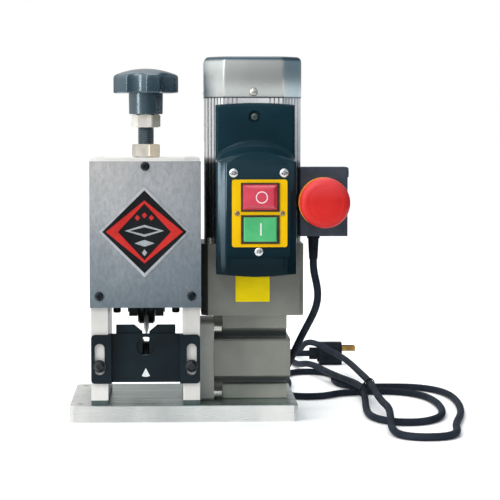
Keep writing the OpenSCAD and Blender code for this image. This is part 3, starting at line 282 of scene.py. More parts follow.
def tube(bm, path, radius, sides, first):
    """Round wire along a path, turned as little as possible. first points to its first side."""
    rings = []
    side = Vector(first)
    for before, at, after in zip(path[:1] + path, path, path[1:] + path[-1:]):
        ahead = (after - before).normalized()
        side = (side - side.dot(ahead) * ahead).normalized()
        facing = Matrix((side, ahead.cross(side), ahead)).transposed().to_4x4()
        verts = bmesh.ops.create_circle(bm, segments=sides, radius=radius,
                                        matrix=Matrix.Translation(at) @ facing)["verts"]
        rings.append([bm.edges.get(pair) for pair in zip(verts, verts[1:] + verts[:1])])
    bridged(bm, rings)


def piece(name, bm, made, body, angle=34):
    """An object from a bmesh, riding on a body if one is named. Edges sharper than the angle stay sharp."""
    mesh = bpy.data.meshes.new(name)
    bmesh.ops.recalc_face_normals(bm, faces=bm.faces)
    for face in bm.faces:
        face.smooth = True
    for edge in bm.edges:
        if len(edge.link_faces) == 2 and edge.calc_face_angle(0) > math.radians(angle):
            edge.smooth = False
    bm.to_mesh(mesh)
    bm.free()
    mesh.materials.append(made)
    made_object = bpy.data.objects.new(name, mesh)
    scene.collection.objects.link(made_object)
    if body:
        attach(made_object, body)
    return made_object


cord_width = 0.0075
cord_exit_mm = (131.5, -65.5, 163.2)
route_mm = [
    cord_exit_mm, (131.5, -65.5, 150.2), (137, -62, 132), (137, -48, 114), (131, -28, 97),
    (123, -8, 78), (115, 20, 54), (109, 55, 33), (105, 90, 24), (98, 130, 10), (90, 180, 4), (82, 255, 4),
    (78, 340, 4), (77, 410, 4), (79, 457, 4), (88, 478, 4), (109, 487, 4), (130, 478, 4), (139, 457, 4),
    (138, 400, 4), (143, 350, 6), (151, 310, 13), (160, 275, 13), (167, 240, 12), (173, 205, 12),
    (182, 165, 12), (191, 130, 12), (196, 95, 12), (196, 55, 8), (193, 15, 4), (189, -35, 4),
    (188, -85, 4), (205, -122, 4), (236, -126, 4), (261, -90, 4), (269, -30, 4), (270, 25, 4),
    (264, 78, 4), (242, 110, 4), (215, 115, 4), (190, 106, 4), (170, 100, 4), (160, 82, 4), (142, 71, 4),
    (120, 75, 4), (109, 96, 4), (112, 125, 4), (119, 160, 4), (123, 208, 4), (118, 260, 4), (132, 299, 4),
    (167, 299, 4), (181, 260, 4), (174, 215, 4), (178, 175, 4), (196, 152, 4), (228, 154, 4),
    (264, 152, 4), (289, 115, 4), (294, 55, 4), (290, -20, 4), (280, -85, 4), (266, -140, 4),
    (263, -195, 4), (247, -220, 4), (215, -221, 4), (198, -195, 4), (203, -140, 9), (206, -100, 16),
    (205, -50, 13), (204, 10, 15), (203, 71, 20), (201, 130, 20), (202, 190, 17), (202, 260, 15),
    (196, 318, 18), (180, 355, 24), (162, 395, 31), (154, 440, 22), (153, 478, 8), (142, 507, 4),
    (115, 516, 4), (92, 500, 10), (86, 465, 16), (92, 430, 14), (112, 405, 14), (138, 405, 14),
    (160, 405, 14)]
cord_path = smooth_path(route_mm, 6)
lead_paint = plain("lead sheath", srgb(31, 36, 45), srgb(44, 50, 60), 0.5, 40, grain=0.00003, fine=1600,
                   shine=0.01)
bm = bmesh.new()
tube(bm, cord_path, cord_width / 2, 16, (1, 0, 0))
cord = piece("mains_lead", bm, lead_paint, "frame")
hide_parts("cord")


# Twist tie, plug and strain relief

# Black moulded plastic. The tie holds the hank at its middle, the plug with its brass
# blades lies with it, and the strain relief sits under the emergency stop box.
def paint(made, *names):
    """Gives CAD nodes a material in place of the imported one."""
    for name in names:
        for slot in nodes[name].material_slots:
            slot.material = made


def soften(width, *names, segments=2):
    """Rounds the edges of CAD nodes by a width in metres."""
    for name in names:
        edge = nodes[name].modifiers.new("soft edges", "BEVEL")
        edge.width = width
        edge.segments = segments
        edge.limit_method = "ANGLE"
        edge.angle_limit = math.radians(34)


plastic_black = plain("black moulded plastic", srgb(24, 29, 34), srgb(38, 43, 49), 0.5, 60, fine=1400,
                      shine=0.02)
paint(plastic_black, "cord_tie", "plug_body", "cord_gland")
soften(0.0012, "plug_body", segments=3)
brass = plain("brass", srgb(140, 106, 56), srgb(186, 150, 88), 0.28, 90, metallic=1.0)
paint(brass, "plug_pins")


# Base plate

# A thick milled aluminium plate. Its top is greyer and stained, with painted shade and
# reflection of the head and gearbox, darkest behind the guide. Its front edge is bright
# with fine scratches and painted paler towards the right.
unchanged = (1, 1, 1, 1)
base_paint, tree, shader, place = material("milled base", srgb(215, 215, 212), 0.3, 0.5)
on_top = fade(tree, place, "Z", 0.0160, 0.0166)
from_left = fade(tree, place, "X", -0.12, 0.12)
edge_tone = times(
    tree,
    ramp(tree, noise(tree, place, 26, (1, 1, 0.4), 5), [
        (0.3, srgb(196, 197, 195)), (0.7, srgb(226, 226, 223))]),
    # Painted light: the front edge is paler towards the right.
    ramp(tree, from_left, [
        (0.0, srgb(228, 228, 228)), (0.45, srgb(222, 226, 227)), (0.75, srgb(240, 242, 242)),
        (0.9, unchanged)]))
top_tone_and_shade = times(
    tree,
    ramp(tree, noise(tree, place, 16, (1, 0.5, 1), 6, 0.62), [
        (0.32, srgb(184, 188, 186)), (0.5, srgb(208, 210, 206)), (0.68, srgb(226, 227, 222))]),
    # Painted shade and reflection: the top is darker between the side plates and beside the gearbox.
    ramp(tree, from_left, [
        (0.05, unchanged), (0.2, srgb(160, 174, 172)), (0.45, srgb(128, 148, 148)),
        (0.6, srgb(140, 158, 158)), (0.9, srgb(176, 192, 192))]))
tree.links.new(blended(tree, on_top, edge_tone, top_tone_and_shade), shader.inputs["Base Color"])
scratch = noise(tree, place, 90, (0.12, 1, 3), 8, 0.7)
tree.links.new(spread(tree, scratch, 0.2, 0.42), shader.inputs["Roughness"])
tree.links.new(scaled(tree, on_top, 0, 1, 0.35, 0.9), shader.inputs["Metallic"])
bump(tree, shader, scratch, 0.00002)
paint(base_paint, "base_plate")
soften(0.0007, "base_plate")


# Side plates and top plate

# Aluminium bars with a fine ground finish, screwed together as the head's frame. They
# are painted paler near the base and on the top plate as light, and the right plate is painted
# a little darker; its outer face lies in the shade of the gearbox, which is painted on it.
plate_paint, tree, shader, place = material("ground aluminium", srgb(212, 211, 206), 0.42, 0.2)
plate_tone = ramp(tree, noise(tree, place, 30, (1, 1, 0.6), 5), [
    (0.3, srgb(222, 221, 217)), (0.7, srgb(244, 242, 238))])
# Painted light: paler near the base and on the top plate, darker in between.
painted_light_by_height = ramp(tree, part_of(tree, place, "Z"), [
    (0.03, srgb(232, 232, 232)), (0.1, srgb(219, 219, 219)), (0.24, srgb(219, 219, 219)),
    (0.262, unchanged)])
# Painted shade: the right plate a little darker, its outer face much darker.
painted_shade_by_side = ramp(tree, fade(tree, place, "X", 0.0, 0.0170), [
    (0.0, unchanged), (0.1, srgb(240, 240, 240)), (0.92, srgb(240, 240, 240)),
    (0.99, srgb(110, 116, 118))])
tree.links.new(times(tree, times(tree, plate_tone, painted_light_by_height), painted_shade_by_side), shader.inputs["Base Color"])
grind = noise(tree, place, 260, (1, 1, 0.05), 5)
tree.links.new(spread(tree, grind, 0.34, 0.52), shader.inputs["Roughness"])
bump(tree, shader, grind, 0.00002)
paint(plate_paint, "left_side_plate", "right_side_plate", "top_plate")
soften(0.0006, "left_side_plate", "right_side_plate", "top_plate")


# Foot strips and frame screws

# Dull dark strips lift the side plates off the base; their dark colour is painted shade
# under the plates. Black steel socket screws hold the frame, from below and through the top plate.
# Painted shade: the strips' dark colour stands for the shade under the side plates.
shade_strip_paint = plain("dark strip", srgb(58, 72, 73), srgb(86, 98, 97), 0.6, 60, shine=0.3)
paint(shade_strip_paint, "foot_strips")
frame_black = plain("black steel screws", srgb(14, 15, 17), srgb(30, 33, 36), 0.26, 200, metallic=0.3,
                    shine=0.4)
paint(frame_black, "frame_screws")


# Covers

# Sheet steel, dull silver with a short vertical grain. Light and shade are painted on it:
# it is paler at the top, bluer and darker towards the bottom, and darker towards the right.
cover_paint, tree, shader, place = material("brushed cover", srgb(160, 164, 168), 0.38, 0.25)
hair = noise(tree, place, 360, (1, 1, 0.45), 6, 0.75)
hair_tone = ramp(tree, hair, [(0.3, srgb(216, 216, 216)), (0.7, unchanged)])
cloud_tone = ramp(tree, noise(tree, place, 22, (1, 1, 0.6), 6, 0.62), [
    (0.3, srgb(224, 228, 232)), (0.7, unchanged)])
# Painted light and shade: paler at the top, darker and bluer towards the bottom.
painted_shade_low = ramp(tree, fade(tree, place, "Z", 0.118, 0.262), [
    (0.0, srgb(110, 122, 130)), (0.3, srgb(148, 156, 161)), (0.62, srgb(186, 188, 190)),
    (1.0, srgb(195, 194, 193))])
# Painted shade: darker and bluer towards the right.
across = ramp(tree, fade(tree, place, "X", -0.095, 0.018), [
    (0.0, unchanged), (0.5, srgb(248, 249, 250)), (1.0, srgb(216, 220, 225))])
tree.links.new(times(tree, times(tree, times(tree, painted_shade_low, across), hair_tone), cloud_tone),
               shader.inputs["Base Color"])
tree.links.new(spread(tree, hair, 0.3, 0.5), shader.inputs["Roughness"])
bump(tree, shader, hair, 0.00003)
paint(cover_paint, "front_cover", "rear_cover")
soften(0.0008, "front_cover", "rear_cover")


# Badge

# A thin printed diamond plate on the front cover: silver border, black enamel field, and
# a red diamond line, wider at its sides, round a few silver and red diamonds.
def outline(bm, points):
    """The edges of a closed line through the points."""
    verts = [bm.verts.new(point) for point in points]
    return [bm.edges.new(pair) for pair in zip(verts, verts[1:] + verts[:1])]


def thicken(bm, faces, depth):
    """Flat faces pulled forward, towards the operator, by a depth in mm."""
    moved = bmesh.ops.extrude_face_region(bm, geom=faces)["geom"]
    front = [item for item in moved if isinstance(item, bmesh.types.BMVert)]
    bmesh.ops.translate(bm, verts=front, vec=mm(0, -depth, 0))


def slab(bm, points, y_back, y_front):
    """A flat outline of (x, z) points in mm, thickened from y_back to y_front."""
    face = bm.faces.new([bm.verts.new(mm(x, y_back, z)) for x, z in points])
    thicken(bm, [face], y_back - y_front)


def plate_ring(bm, outer, inner, y_back, y_front):
    """A flat ring between two outlines of (x, z) points in mm, thickened from y_back to y_front."""
    edges = [edge for line in (outer, inner) for edge in outline(bm, [mm(x, y_back, z) for x, z in line])]
    thicken(bm, bmesh.ops.bridge_loops(bm, edges=edges)["faces"], y_back - y_front)


def diamond(half_w, half_h, x=-39.3, z=191.9):
    """The corners of an upright diamond round a point of the badge, as (x, z) in mm."""
    return [(x, z - half_h), (x + half_w, z), (x, z + half_h), (x - half_w, z)]


print_back, print_front = -87.8, -87.93
badge_silver = plain("badge silver", srgb(148, 152, 156), srgb(172, 176, 180), 0.28, 90, metallic=0.2)
badge_black = plain("badge enamel", srgb(10, 11, 13), srgb(24, 26, 29), 0.3, 60, shine=0.2)
badge_red = plain("badge red", srgb(170, 32, 29), srgb(192, 44, 39), 0.3, 60, shine=0.3)
bm = bmesh.new()
slab(bm, diamond(45.6, 45.6), -87, -87.7)
bmesh.ops.bevel(bm, geom=bm.edges, offset=0.0003, offset_type="OFFSET", affect="EDGES", segments=2,
                profile=0.5, material=-1, clamp_overlap=True)
badge = piece("badge_plate", bm, badge_silver, "frame")
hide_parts("badge")
bm = bmesh.new()
slab(bm, diamond(42.2, 41.6), -87.65, -87.85)
piece("badge_field", bm, badge_black, "frame")
bm = bmesh.new()
plate_ring(bm, diamond(38.5, 31.5), diamond(26.5, 28.5), print_back, print_front)
for x, z in ((-46.3, 206), (-39.3, 208.5), (-32.3, 206)):
    slab(bm, diamond(2.6, 3, x, z), print_back, print_front)
piece("badge_line", bm, badge_red, "frame")
bm = bmesh.new()
plate_ring(bm, diamond(19.5, 6, z=193), diamond(15, 3.6, z=193), print_back, print_front)
slab(bm, diamond(10, 3.4, z=180.5), print_back, print_front)
slab(bm, diamond(2.6, 3.4, z=171), print_back, print_front)
piece("badge_middle", bm, badge_silver, "frame")


# Cover screws

# Black button-head screws with a hexagon socket, three in each cover. Their heads are
# slightly blue under the gloss.
screw_black = plain("black screws", srgb(6, 16, 22), srgb(16, 30, 38), 0.2, 160, metallic=0.2, shine=0.4)
paint(screw_black, "cover_screws")
soften(0.0004, "cover_screws", segments=3)


# Guide rods and their nuts

# Dark round rods hang from the top plate, each with a bright nut and washer at its lower
# end that carry a spring.
dark_steel = plain("dark steel", srgb(20, 28, 31), srgb(44, 54, 58), 0.34, 60, metallic=0.45, shine=0.4)
paint(dark_steel, "guide_rods")
bright_steel = plain("bright steel", srgb(176, 176, 170), srgb(218, 218, 210), 0.28, 70, metallic=0.8)
paint(bright_steel, "rod_nuts")


# Return springs

# Two coils of round spring wire on the guide rods, between the washers and the carriage.
spring_rods_x, rod_y = (-69, -8), -10
coil_radius, wire_radius = 5.4, 0.9
coil_low, coil_height, coil_turns, turn_steps = 126.4, 22.7, 5, 24
spring_steel = plain("spring steel", srgb(96, 100, 102), srgb(146, 150, 152), 0.3, 120, metallic=0.8)
bm = bmesh.new()
for x in spring_rods_x:
    coil = []
    for k in range(coil_turns * turn_steps + 1):
        a = 2 * math.pi * k / turn_steps
        coil.append(mm(x + coil_radius * math.cos(a), rod_y + coil_radius * math.sin(a),
                       coil_low + coil_height * k / (coil_turns * turn_steps)))
    tube(bm, coil, wire_radius / 1000, 8, (0, 0, 1))
springs = piece("return_spring_coils", bm, spring_steel, None)
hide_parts("return_springs")
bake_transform(springs)


# Feed shaft, its bearings and the feed roller

# A bright ground shaft turns in ball bearings in the side plates and carries a dark
# toothed roller, with a groove under the blade's edge.
paint(bright_steel, "bearings", "feed_shaft")
roller_steel = plain("roller steel", srgb(52, 64, 66), srgb(92, 104, 104), 0.4, 70, metallic=0.5)
paint(roller_steel, "feed_roller")


# Blade carriage and collars

# A blackened steel block with a fork for the blade. The bright keeper on its top holds
# the screw's neck, and two collars beside the blade keep it in the fork's middle.
block_steel = plain("blackened steel", srgb(14, 24, 28), srgb(34, 46, 52), 0.36, 45, metallic=0.3, shine=0.4)
paint(block_steel, "blade_carriage", "blade_collars")
soften(0.0006, "blade_carriage")
paint(bright_steel, "screw_keeper", "blade_axle")


# Round blade

# A disc of hardened steel with a ground edge, which turns freely on its axle. It is
# dark, with fine grinding rings round the axle.
blade_paint, tree, shader, place = material("blade steel", srgb(50, 58, 62), 0.3, 0.5)
centre = tree.nodes.new("ShaderNodeMapping")
centre.inputs["Location"].default_value = (0.0385, 0.010, -0.1105)
tree.links.new(place, centre.inputs["Vector"])
rings = tree.nodes.new("ShaderNodeTexWave")
rings.wave_type = "RINGS"
rings.rings_direction = "X"
rings.inputs["Scale"].default_value = 420
rings.inputs["Distortion"].default_value = 1.5
tree.links.new(centre.outputs["Vector"], rings.inputs["Vector"])
tree.links.new(ramp(tree, rings.outputs["Color"], [(0.0, srgb(26, 33, 36)), (1.0, srgb(52, 60, 64))]),
               shader.inputs["Base Color"])
bump(tree, shader, rings.outputs["Fac"], 0.00001)
paint(blade_paint, "round_blade")


# Pressure screw

# A blackened screw with a 2 mm thread, rolled in steel bar and held by its neck in the
# carriage. Its crests carry a painted highlight in a paler colour.
screw_x, screw_y = -38.5, -10
pitch, crest_radius, thread_depth = 2, 8.3, 0.35
thread_low, thread_height, thread_rows = 205, 116, 464
thread_sides = 40


def rows_solid(bm, rows):
    """A closed solid from rows of equally many points, bridged in order."""
    bridged(bm, [outline(bm, row) for row in rows])


def thread_row(z, radius, depth):
    """One ring round the screw at height z in mm. Its radius follows the helix."""
    row = []
    for k in range(thread_sides):
        turn = (z / pitch - k / thread_sides) % 1
        r = radius - depth * min(1.6 * abs(2 * turn - 1), 1)
        a = 2 * math.pi * k / thread_sides
        row.append(mm(screw_x + r * math.cos(a), screw_y + r * math.sin(a), z))
    return row


thread_paint = plain("screw steel", srgb(18, 32, 40), srgb(34, 50, 60), 0.3, 80, metallic=0.3, shine=0.4)
# Painted highlight: the crests are coloured paler, standing for the light they catch.
crest_highlight_paint = plain("thread crest", srgb(84, 100, 108), srgb(112, 128, 136), 0.3, 200)
bm = bmesh.new()
neck = [thread_row(z, r, 0) for z, r in (
    (186.4, 7.4), (187.2, 8), (199.6, 8), (199.7, 6), (204.2, 6), (204.3, 7))]
thread = [thread_row(thread_low + thread_height * k / thread_rows, crest_radius, thread_depth)
          for k in range(thread_rows + 1)]
rows_solid(bm, neck + thread)
screw = piece("pressure_screw_thread", bm, thread_paint, "screw", angle=80)
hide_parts("pressure_screw")
screw.data.materials.append(crest_highlight_paint)
for face in screw.data.polygons:
    x, y, z = face.center * 1000
    turn = (z / pitch - math.atan2(y - screw_y, x - screw_x) / (2 * math.pi)) % 1
    if z > thread_low and abs(turn - 0.5) < 0.08 and len(face.vertices) == 4:
        face.material_index = 1


# Nuts on the pressure screw

# Two thick pale nuts with worn zinc plating: one locks the screw on the top plate, one
# holds the knob. The upper nut's right facet has painted shade; the lower nut has painted
# shade on its left and a warm painted light on its right facet.
nut_paint, tree, shader, place = material("pale zinc", srgb(214, 211, 200), 0.34, 0.6)
wear = noise(tree, place, 60, (1, 1, 1), 6, 0.6)
worn = ramp(tree, wear, [
    (0.28, srgb(212, 207, 194)), (0.5, srgb(236, 233, 226)), (0.72, srgb(248, 246, 242))])
# Painted shade on the upper nut's right facet; painted shade on the lower nut's left and warm painted light
# on its right facet.
upper_facet_shade = blended(tree, fade(tree, place, "X", -0.0330, -0.0322), unchanged, srgb(194, 196, 188))
lower_facet_light_and_shade = blended(tree, fade(tree, place, "X", -0.0362, -0.0352), srgb(206, 203, 199), srgb(255, 243, 226))
is_upper = fade(tree, place, "Z", 0.284, 0.286)
tree.links.new(blended(tree, is_upper, times(tree, worn, lower_facet_light_and_shade), times(tree, worn, upper_facet_shade)),
               shader.inputs["Base Color"])
tree.links.new(spread(tree, wear, 0.26, 0.46), shader.inputs["Roughness"])
bump(tree, shader, noise(tree, place, 500), 0.00003)
paint(nut_paint, "knob_nut", "lock_nut")
soften(0.0006, "knob_nut", "lock_nut", segments=3)


# Knob

# A blue-black phenolic hand knob, moulded with six shallow flutes, a soft rim, a low
# dome and a round hub.
knob_sides, knob_turned_by = 240, 16
knob_reach, rim_round = 33.6, 1.2
flute_centre, flute_radius = 41.05, 14
head_z, rim_height, dome_height, dome_inset = 331.6, 18.2, 7.1, 2.4


def knob_edge(a):
    """The knob head's radius in mm in the direction a: a circle with six flutes and soft corners."""
    span = math.pi / 3
    past_lobe = (a + math.radians(knob_turned_by) + span / 2) % span - span / 2
    off = span / 2 - abs(past_lobe)
    inside = flute_radius ** 2 - (flute_centre * math.sin(off)) ** 2
    cut = flute_centre * math.cos(off) - math.sqrt(inside) if inside > 0 else knob_reach
    return knob_reach - math.sqrt((knob_reach - min(cut, knob_reach)) ** 2 + rim_round ** 2) + rim_round


def knob_row(inset, height=None, drop=0.0, part=1.0):
    """One ring of the head, inset from the rim: at a height, or on the dome and dropped below it."""
    row = []
    for k in range(knob_sides):
        a = 2 * math.pi * k / knob_sides
        r = (knob_edge(a) - inset) * part
        h = height if height is not None else rim_height + dome_height * (1 - (r / knob_reach) ** 2) - drop
        row.append(mm(screw_x + r * math.cos(a), screw_y + r * math.sin(a), head_z + h))
    return row


def turned(bm, centre, axis, profile, steps):
    """A full turn of (radius, height) pairs in mm round an axis through the centre."""
    ahead = Vector(axis)
    side = Vector((0, 1, 0)) if abs(ahead.x) > 0.5 else Vector((1, 0, 0))
    verts = [bm.verts.new(centre + (side * r + ahead * h) / 1000) for r, h in profile]
    edges = [bm.edges.new(pair) for pair in zip(verts, verts[1:])]
    bmesh.ops.spin(bm, geom=verts + edges, cent=centre, axis=ahead, angle=2 * math.pi, steps=steps,
                   use_merge=True)
    bmesh.ops.remove_doubles(bm, verts=bm.verts, dist=1e-6)


knob_paint, tree, shader, place = material("knob phenolic", srgb(28, 50, 62), 0.26)
shader.inputs["Specular IOR Level"].default_value = 1.0
shader.inputs["IOR"].default_value = 1.62
shader.inputs["Specular Tint"].default_value = (0.78, 0.92, 1, 1)
tree.links.new(ramp(tree, noise(tree, place, 40), [(0.3, srgb(21, 43, 54)), (0.7, srgb(31, 55, 67))]),
               shader.inputs["Base Color"])
tree.links.new(spread(tree, noise(tree, place, 90), 0.24, 0.3), shader.inputs["Roughness"])
skirt = [knob_row(inset, height) for inset, height in (
    (1.4, 0.0), (0.45, 0.3), (0.1, 1.0), (0.0, 2.0), (0.0, 14.8))]
rim = [knob_row(inset, drop=drop) for inset, drop in ((0.2, 1.5), (0.75, 0.7), (1.5, 0.2))]
dome = [knob_row(dome_inset, part=part) for part in (1.0, 0.9, 0.78, 0.64, 0.5, 0.36, 0.22, 0.1, 0.02)]
bm = bmesh.new()
rows_solid(bm, skirt + rim + dome)
knob = piece("knob_head", bm, knob_paint, "screw", angle=50)
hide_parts("knob")
bm = bmesh.new()
turned(bm, mm(screw_x, screw_y, 0), (0, 0, 1),
       [(0, 309.9), (16.9, 309.9), (17.4, 310.4), (17.7, 333), (0, 333)], 72)
hub = piece("knob_hub", bm, knob_paint, "screw")


# Wire guide and the notched block behind it

# Bent plate with a black oxide finish, held by a screw in each slotted ear. A small white
# fan is painted under its wire hole.
guide_paint = plain("black oxide plate", srgb(8, 18, 23), srgb(14, 30, 37), 0.38, 26, shine=0.16, fine=700)
paint(guide_paint, "wire_guide", "guide_block")
soften(0.0006, "wire_guide", "guide_block")
fan_x, fan_z, fan_radius = -38.5, 53.4, 9
fan = [(fan_x, fan_z)]
for degrees in range(-27, 28, 6):
    a = math.radians(degrees)
    fan.append((fan_x + fan_radius * math.sin(a), fan_z - fan_radius * math.cos(a)))
mark_white = plain("white mark", srgb(204, 211, 211), srgb(220, 226, 226), 0.6, 200)
bm = bmesh.new()
slab(bm, fan, -73.25, -73.4)
piece("guide_mark", bm, mark_white, "guide")
guide_screw_paint = plain("oxide screws", srgb(8, 14, 18), srgb(20, 28, 33), 0.12, 160, metallic=0.1)
paint(guide_screw_paint, "guide_screws")
soften(0.0004, "guide_screws", segments=3)


# Gearbox flange and its bolts

# A square cast flange in grey enamel that joins the gearbox to the right side plate. It is
# painted paler than the gearbox, as painted light on its set-back face. Four bright socket screws hold it.
# Painted light: the flange's enamel is paler than the gearbox's.
lit_flange_enamel = plain("flange enamel", srgb(148, 150, 143), srgb(174, 175, 168), 0.4, 18, grain=0.00006,
                      fine=420)
paint(lit_flange_enamel, "gearbox_flange")
soften(0.0012, "gearbox_flange", segments=3)
paint(bright_steel, "flange_bolts")
soften(0.0004, "flange_bolts")


# Right-angle gearbox

# A casting in grey enamel. Its two necks are painted almost black as shade under its flanges,
# and its middle is a little darker than its ends, whose paler colour is painted light on their set-back
# faces.
def casting_enamel(name):
    """Cloudy grey enamel with a slight grit, returned with its tree, shader, coordinates and grey."""
    made, tree, shader, place = material(name, srgb(116, 118, 111), 0.4)
    shader.inputs["Coat Weight"].default_value = 0.12
    cloudy = ramp(tree, noise(tree, place, 18, (1, 1, 1), 5, 0.6), [(0.3, srgb(104, 106, 99)),
                                                                    (0.7, srgb(124, 125, 118))])
    grit = noise(tree, place, 420)
    tree.links.new(spread(tree, grit, 0.32, 0.5), shader.inputs["Roughness"])
    bump(tree, shader, grit, 0.00006)
    return made, tree, shader, place, cloudy


gearbox_enamel, tree, shader, place, cloudy = casting_enamel("gearbox enamel")
height = part_of(tree, place, "Z")
# Painted shade: the two necks are coloured almost black.
painted_neck_shade = ramp(tree, height, [
    (0.0, grey(0)), (0.0326, grey(0)), (0.0328, grey(1)), (0.0402, grey(1)), (0.0404, grey(0)),
    (0.0799, grey(0)), (0.08, grey(1)), (0.0892, grey(1)), (0.0894, grey(0))])
# Painted light: the ends are left paler than the darker middle.
middle = ramp(tree, height, [
    (0.0, unchanged), (0.0326, unchanged), (0.0404, srgb(206, 206, 206)), (0.08, srgb(206, 206, 206)),
    (0.0892, unchanged)])
paler = blended(tree, 0.28, cloudy, srgb(150, 150, 150), "DIVIDE")
tree.links.new(blended(tree, painted_neck_shade, times(tree, paler, middle), srgb(20, 36, 36)),
               shader.inputs["Base Color"])
paint(gearbox_enamel, "right_angle_gearbox")
soften(0.0012, "right_angle_gearbox", segments=3)


# Gearhead and lower motor flange

# Two square castings on each other in the gearbox's enamel, with chamfered corners. The
# left corner lies in the shade of the head.
gearhead_enamel, tree, shader, place, cloudy = casting_enamel("gearhead enamel")
shaded = times(tree, cloudy, srgb(110, 120, 116))
tree.links.new(blended(tree, fade(tree, place, "X", 0.0244, 0.0252), shaded, cloudy),
               shader.inputs["Base Color"])
bm = bmesh.new()
for low, high, back, front in ((105, 166.5, 37.7, -57.7), (166.6, 178, 38.8, -58.8)):
    corners = ((24.5, front), (118, front), (122, front + 4), (122, back - 5), (117, back), (23, back),
               (18, back - 5), (18, front + 6.5))
    rows_solid(bm, [[mm(x, y, z) for x, y in corners] for z in (low, high)])
gearhead = piece("gearhead_casting", bm, gearhead_enamel, "frame")
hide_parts("gearhead", "lower_flange")


# Motor body

# Extruded aluminium with fins all round, bright on the left and duller on the right.
# Shade is painted on the fins beside the switch box and the head, and the left fins are
# painted a little darker as shade.
fin_paint, tree, shader, place = material("finned aluminium", srgb(246, 247, 248), 0.3)
metal_tone = ramp(tree, fade(tree, place, "X", 0.02, 0.122), [
    (0.0, grey(0.95)), (0.25, grey(0.7)), (0.6, grey(0.2)), (1.0, grey(0.05))])
tree.links.new(metal_tone, shader.inputs["Metallic"])
bright = ramp(tree, noise(tree, place, 20, (1, 1, 0.3)), [
    (0.3, srgb(226, 228, 229)), (0.7, srgb(246, 247, 248))])
# Painted shade on the fins below the head's top, at the left and right of the front.
fin_shade = blended(tree, fade(tree, place, "Z", 0.2595, 0.2635), srgb(138, 144, 146), unchanged)
unshaded_middle = ramp(tree, fade(tree, place, "X", 0.0, 0.2), [
    (0.17, grey(0)), (0.175, grey(1)), (0.53, grey(1)), (0.535, grey(0))])
fin_shade = blended(tree, unshaded_middle, fin_shade, unchanged)
fin_shade = blended(tree, fade(tree, place, "Y", -0.036, -0.030), fin_shade, unchanged)
# Painted shade: the left fins a little darker.
left_fin_shade = blended(tree, fade(tree, place, "X", 0.034, 0.037), srgb(222, 222, 222), unchanged)
tree.links.new(times(tree, bright, times(tree, fin_shade, left_fin_shade)), shader.inputs["Base Color"])
draw_marks = noise(tree, place, 500, (1, 1, 0.3))
tree.links.new(spread(tree, draw_marks, 0.23, 0.39), shader.inputs["Roughness"])
bump(tree, shader, draw_marks, 0.00002)
paint(fin_paint, "motor_body")
soften(0.0003, "motor_body")


# Motor shaft, rotor, stator, fan and bolts

# The inside of the motor: copper-brown stator, dark laminated rotor on a bright shaft with
# a black fan, and the long bolts that hold the motor together.
paint(bright_steel, "motor_shaft", "motor_bolts")
paint(dark_steel, "rotor_core")
copper = plain("stator", srgb(90, 50, 30), srgb(130, 76, 46), 0.5, 60)
paint(copper, "stator")
paint(plastic_black, "cooling_fan")


# Motor cap

# A cast aluminium hood over the fan, eight-sided with rounded corners. Its shoulder is
# a painted dark reflection, its lip a thin dark line, and its right facet has a bluish painted
# reflection, with a painted highlight line by that corner, and painted shade on its left edge, darkest low
# down.
motor_x, motor_y = 71, -10
cap_paint, tree, shader, place = material("cap aluminium", srgb(170, 172, 170), 0.34, 0.85)
cloud = noise(tree, place, 20, (1, 1, 0.5), 5)
cap_tone = ramp(tree, cloud, [(0.3, srgb(186, 190, 188)), (0.7, srgb(202, 206, 204))])
# Painted reflection: a dark band on the shoulder.
shoulder_reflection = ramp(tree, fade(tree, place, "Z", 0.3625, 0.3690), [
    (0.0, grey(0)), (0.45, grey(1)), (0.72, grey(1)), (0.9, grey(0.3))])
lip = fade(tree, place, "Z", 0.3278, 0.3266)
cap_tone = blended(tree, lip, blended(tree, shoulder_reflection, cap_tone, srgb(66, 82, 93)), srgb(76, 84, 90))
# Painted light: bluish shade at the left edge, a highlight line near the right corner, a bluish reflection on
# the right facet.
across = ramp(tree, fade(tree, place, "X", 0.0213, 0.1213), [
    (0.0, srgb(214, 220, 226)), (0.06, unchanged), (0.78, srgb(248, 248, 248)), (0.795, unchanged),
    (0.83, srgb(230, 240, 246)), (0.96, srgb(216, 234, 246)), (1.0, unchanged)])
# Painted shade: darker low down on the left.
left_corner_shade = blended(tree, fade(tree, place, "Z", 0.334, 0.352), srgb(120, 134, 148), srgb(250, 250, 250))
left_shade = blended(tree, fade(tree, place, "X", 0.021, 0.034), left_corner_shade, unchanged)
tree.links.new(times(tree, times(tree, cap_tone, across), left_shade), shader.inputs["Base Color"])
tree.links.new(spread(tree, cloud, 0.3, 0.4), shader.inputs["Roughness"])


def cap_row(z, inset, half=49.7, facet=30, corner=5, corner_steps=6):
    """The cap's eight-sided outline at height z with rounded corners, inset in mm."""
    w, f = half - inset, facet - inset * 0.4
    corners = [(-f, -w), (f, -w), (w, -f), (w, f), (f, w), (-f, w), (-w, f), (-w, -f)]
    reach = corner * math.tan(math.radians(22.5))
    row = []
    for i in range(8):
        here, before, after = (Vector(corners[(i + k) % 8]) for k in (0, -1, 1))
        enter = here + (before - here).normalized() * reach
        leave = here + (after - here).normalized() * reach
        for k in range(corner_steps + 1):
            t = k / corner_steps
            point = (1 - t) ** 2 * enter + 2 * t * (1 - t) * here + t * t * leave
            row.append(mm(motor_x + point.x, motor_y + point.y, z))
    return row


bm = bmesh.new()
rows_solid(bm, [cap_row(z, inset) for z, inset in (
    (365.4, 5), (326.1, 5), (326, 4.6), (326, 0.5), (326.4, 0), (362.6, 0), (364.4, 0.3), (365.9, 1.1),
    (367.1, 2.3), (367.9, 4), (368.3, 8), (368.5, 16))])
cap = piece("motor_cap_shell", bm, cap_paint, "frame", angle=60)
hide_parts("motor_cap")


# Cap screws

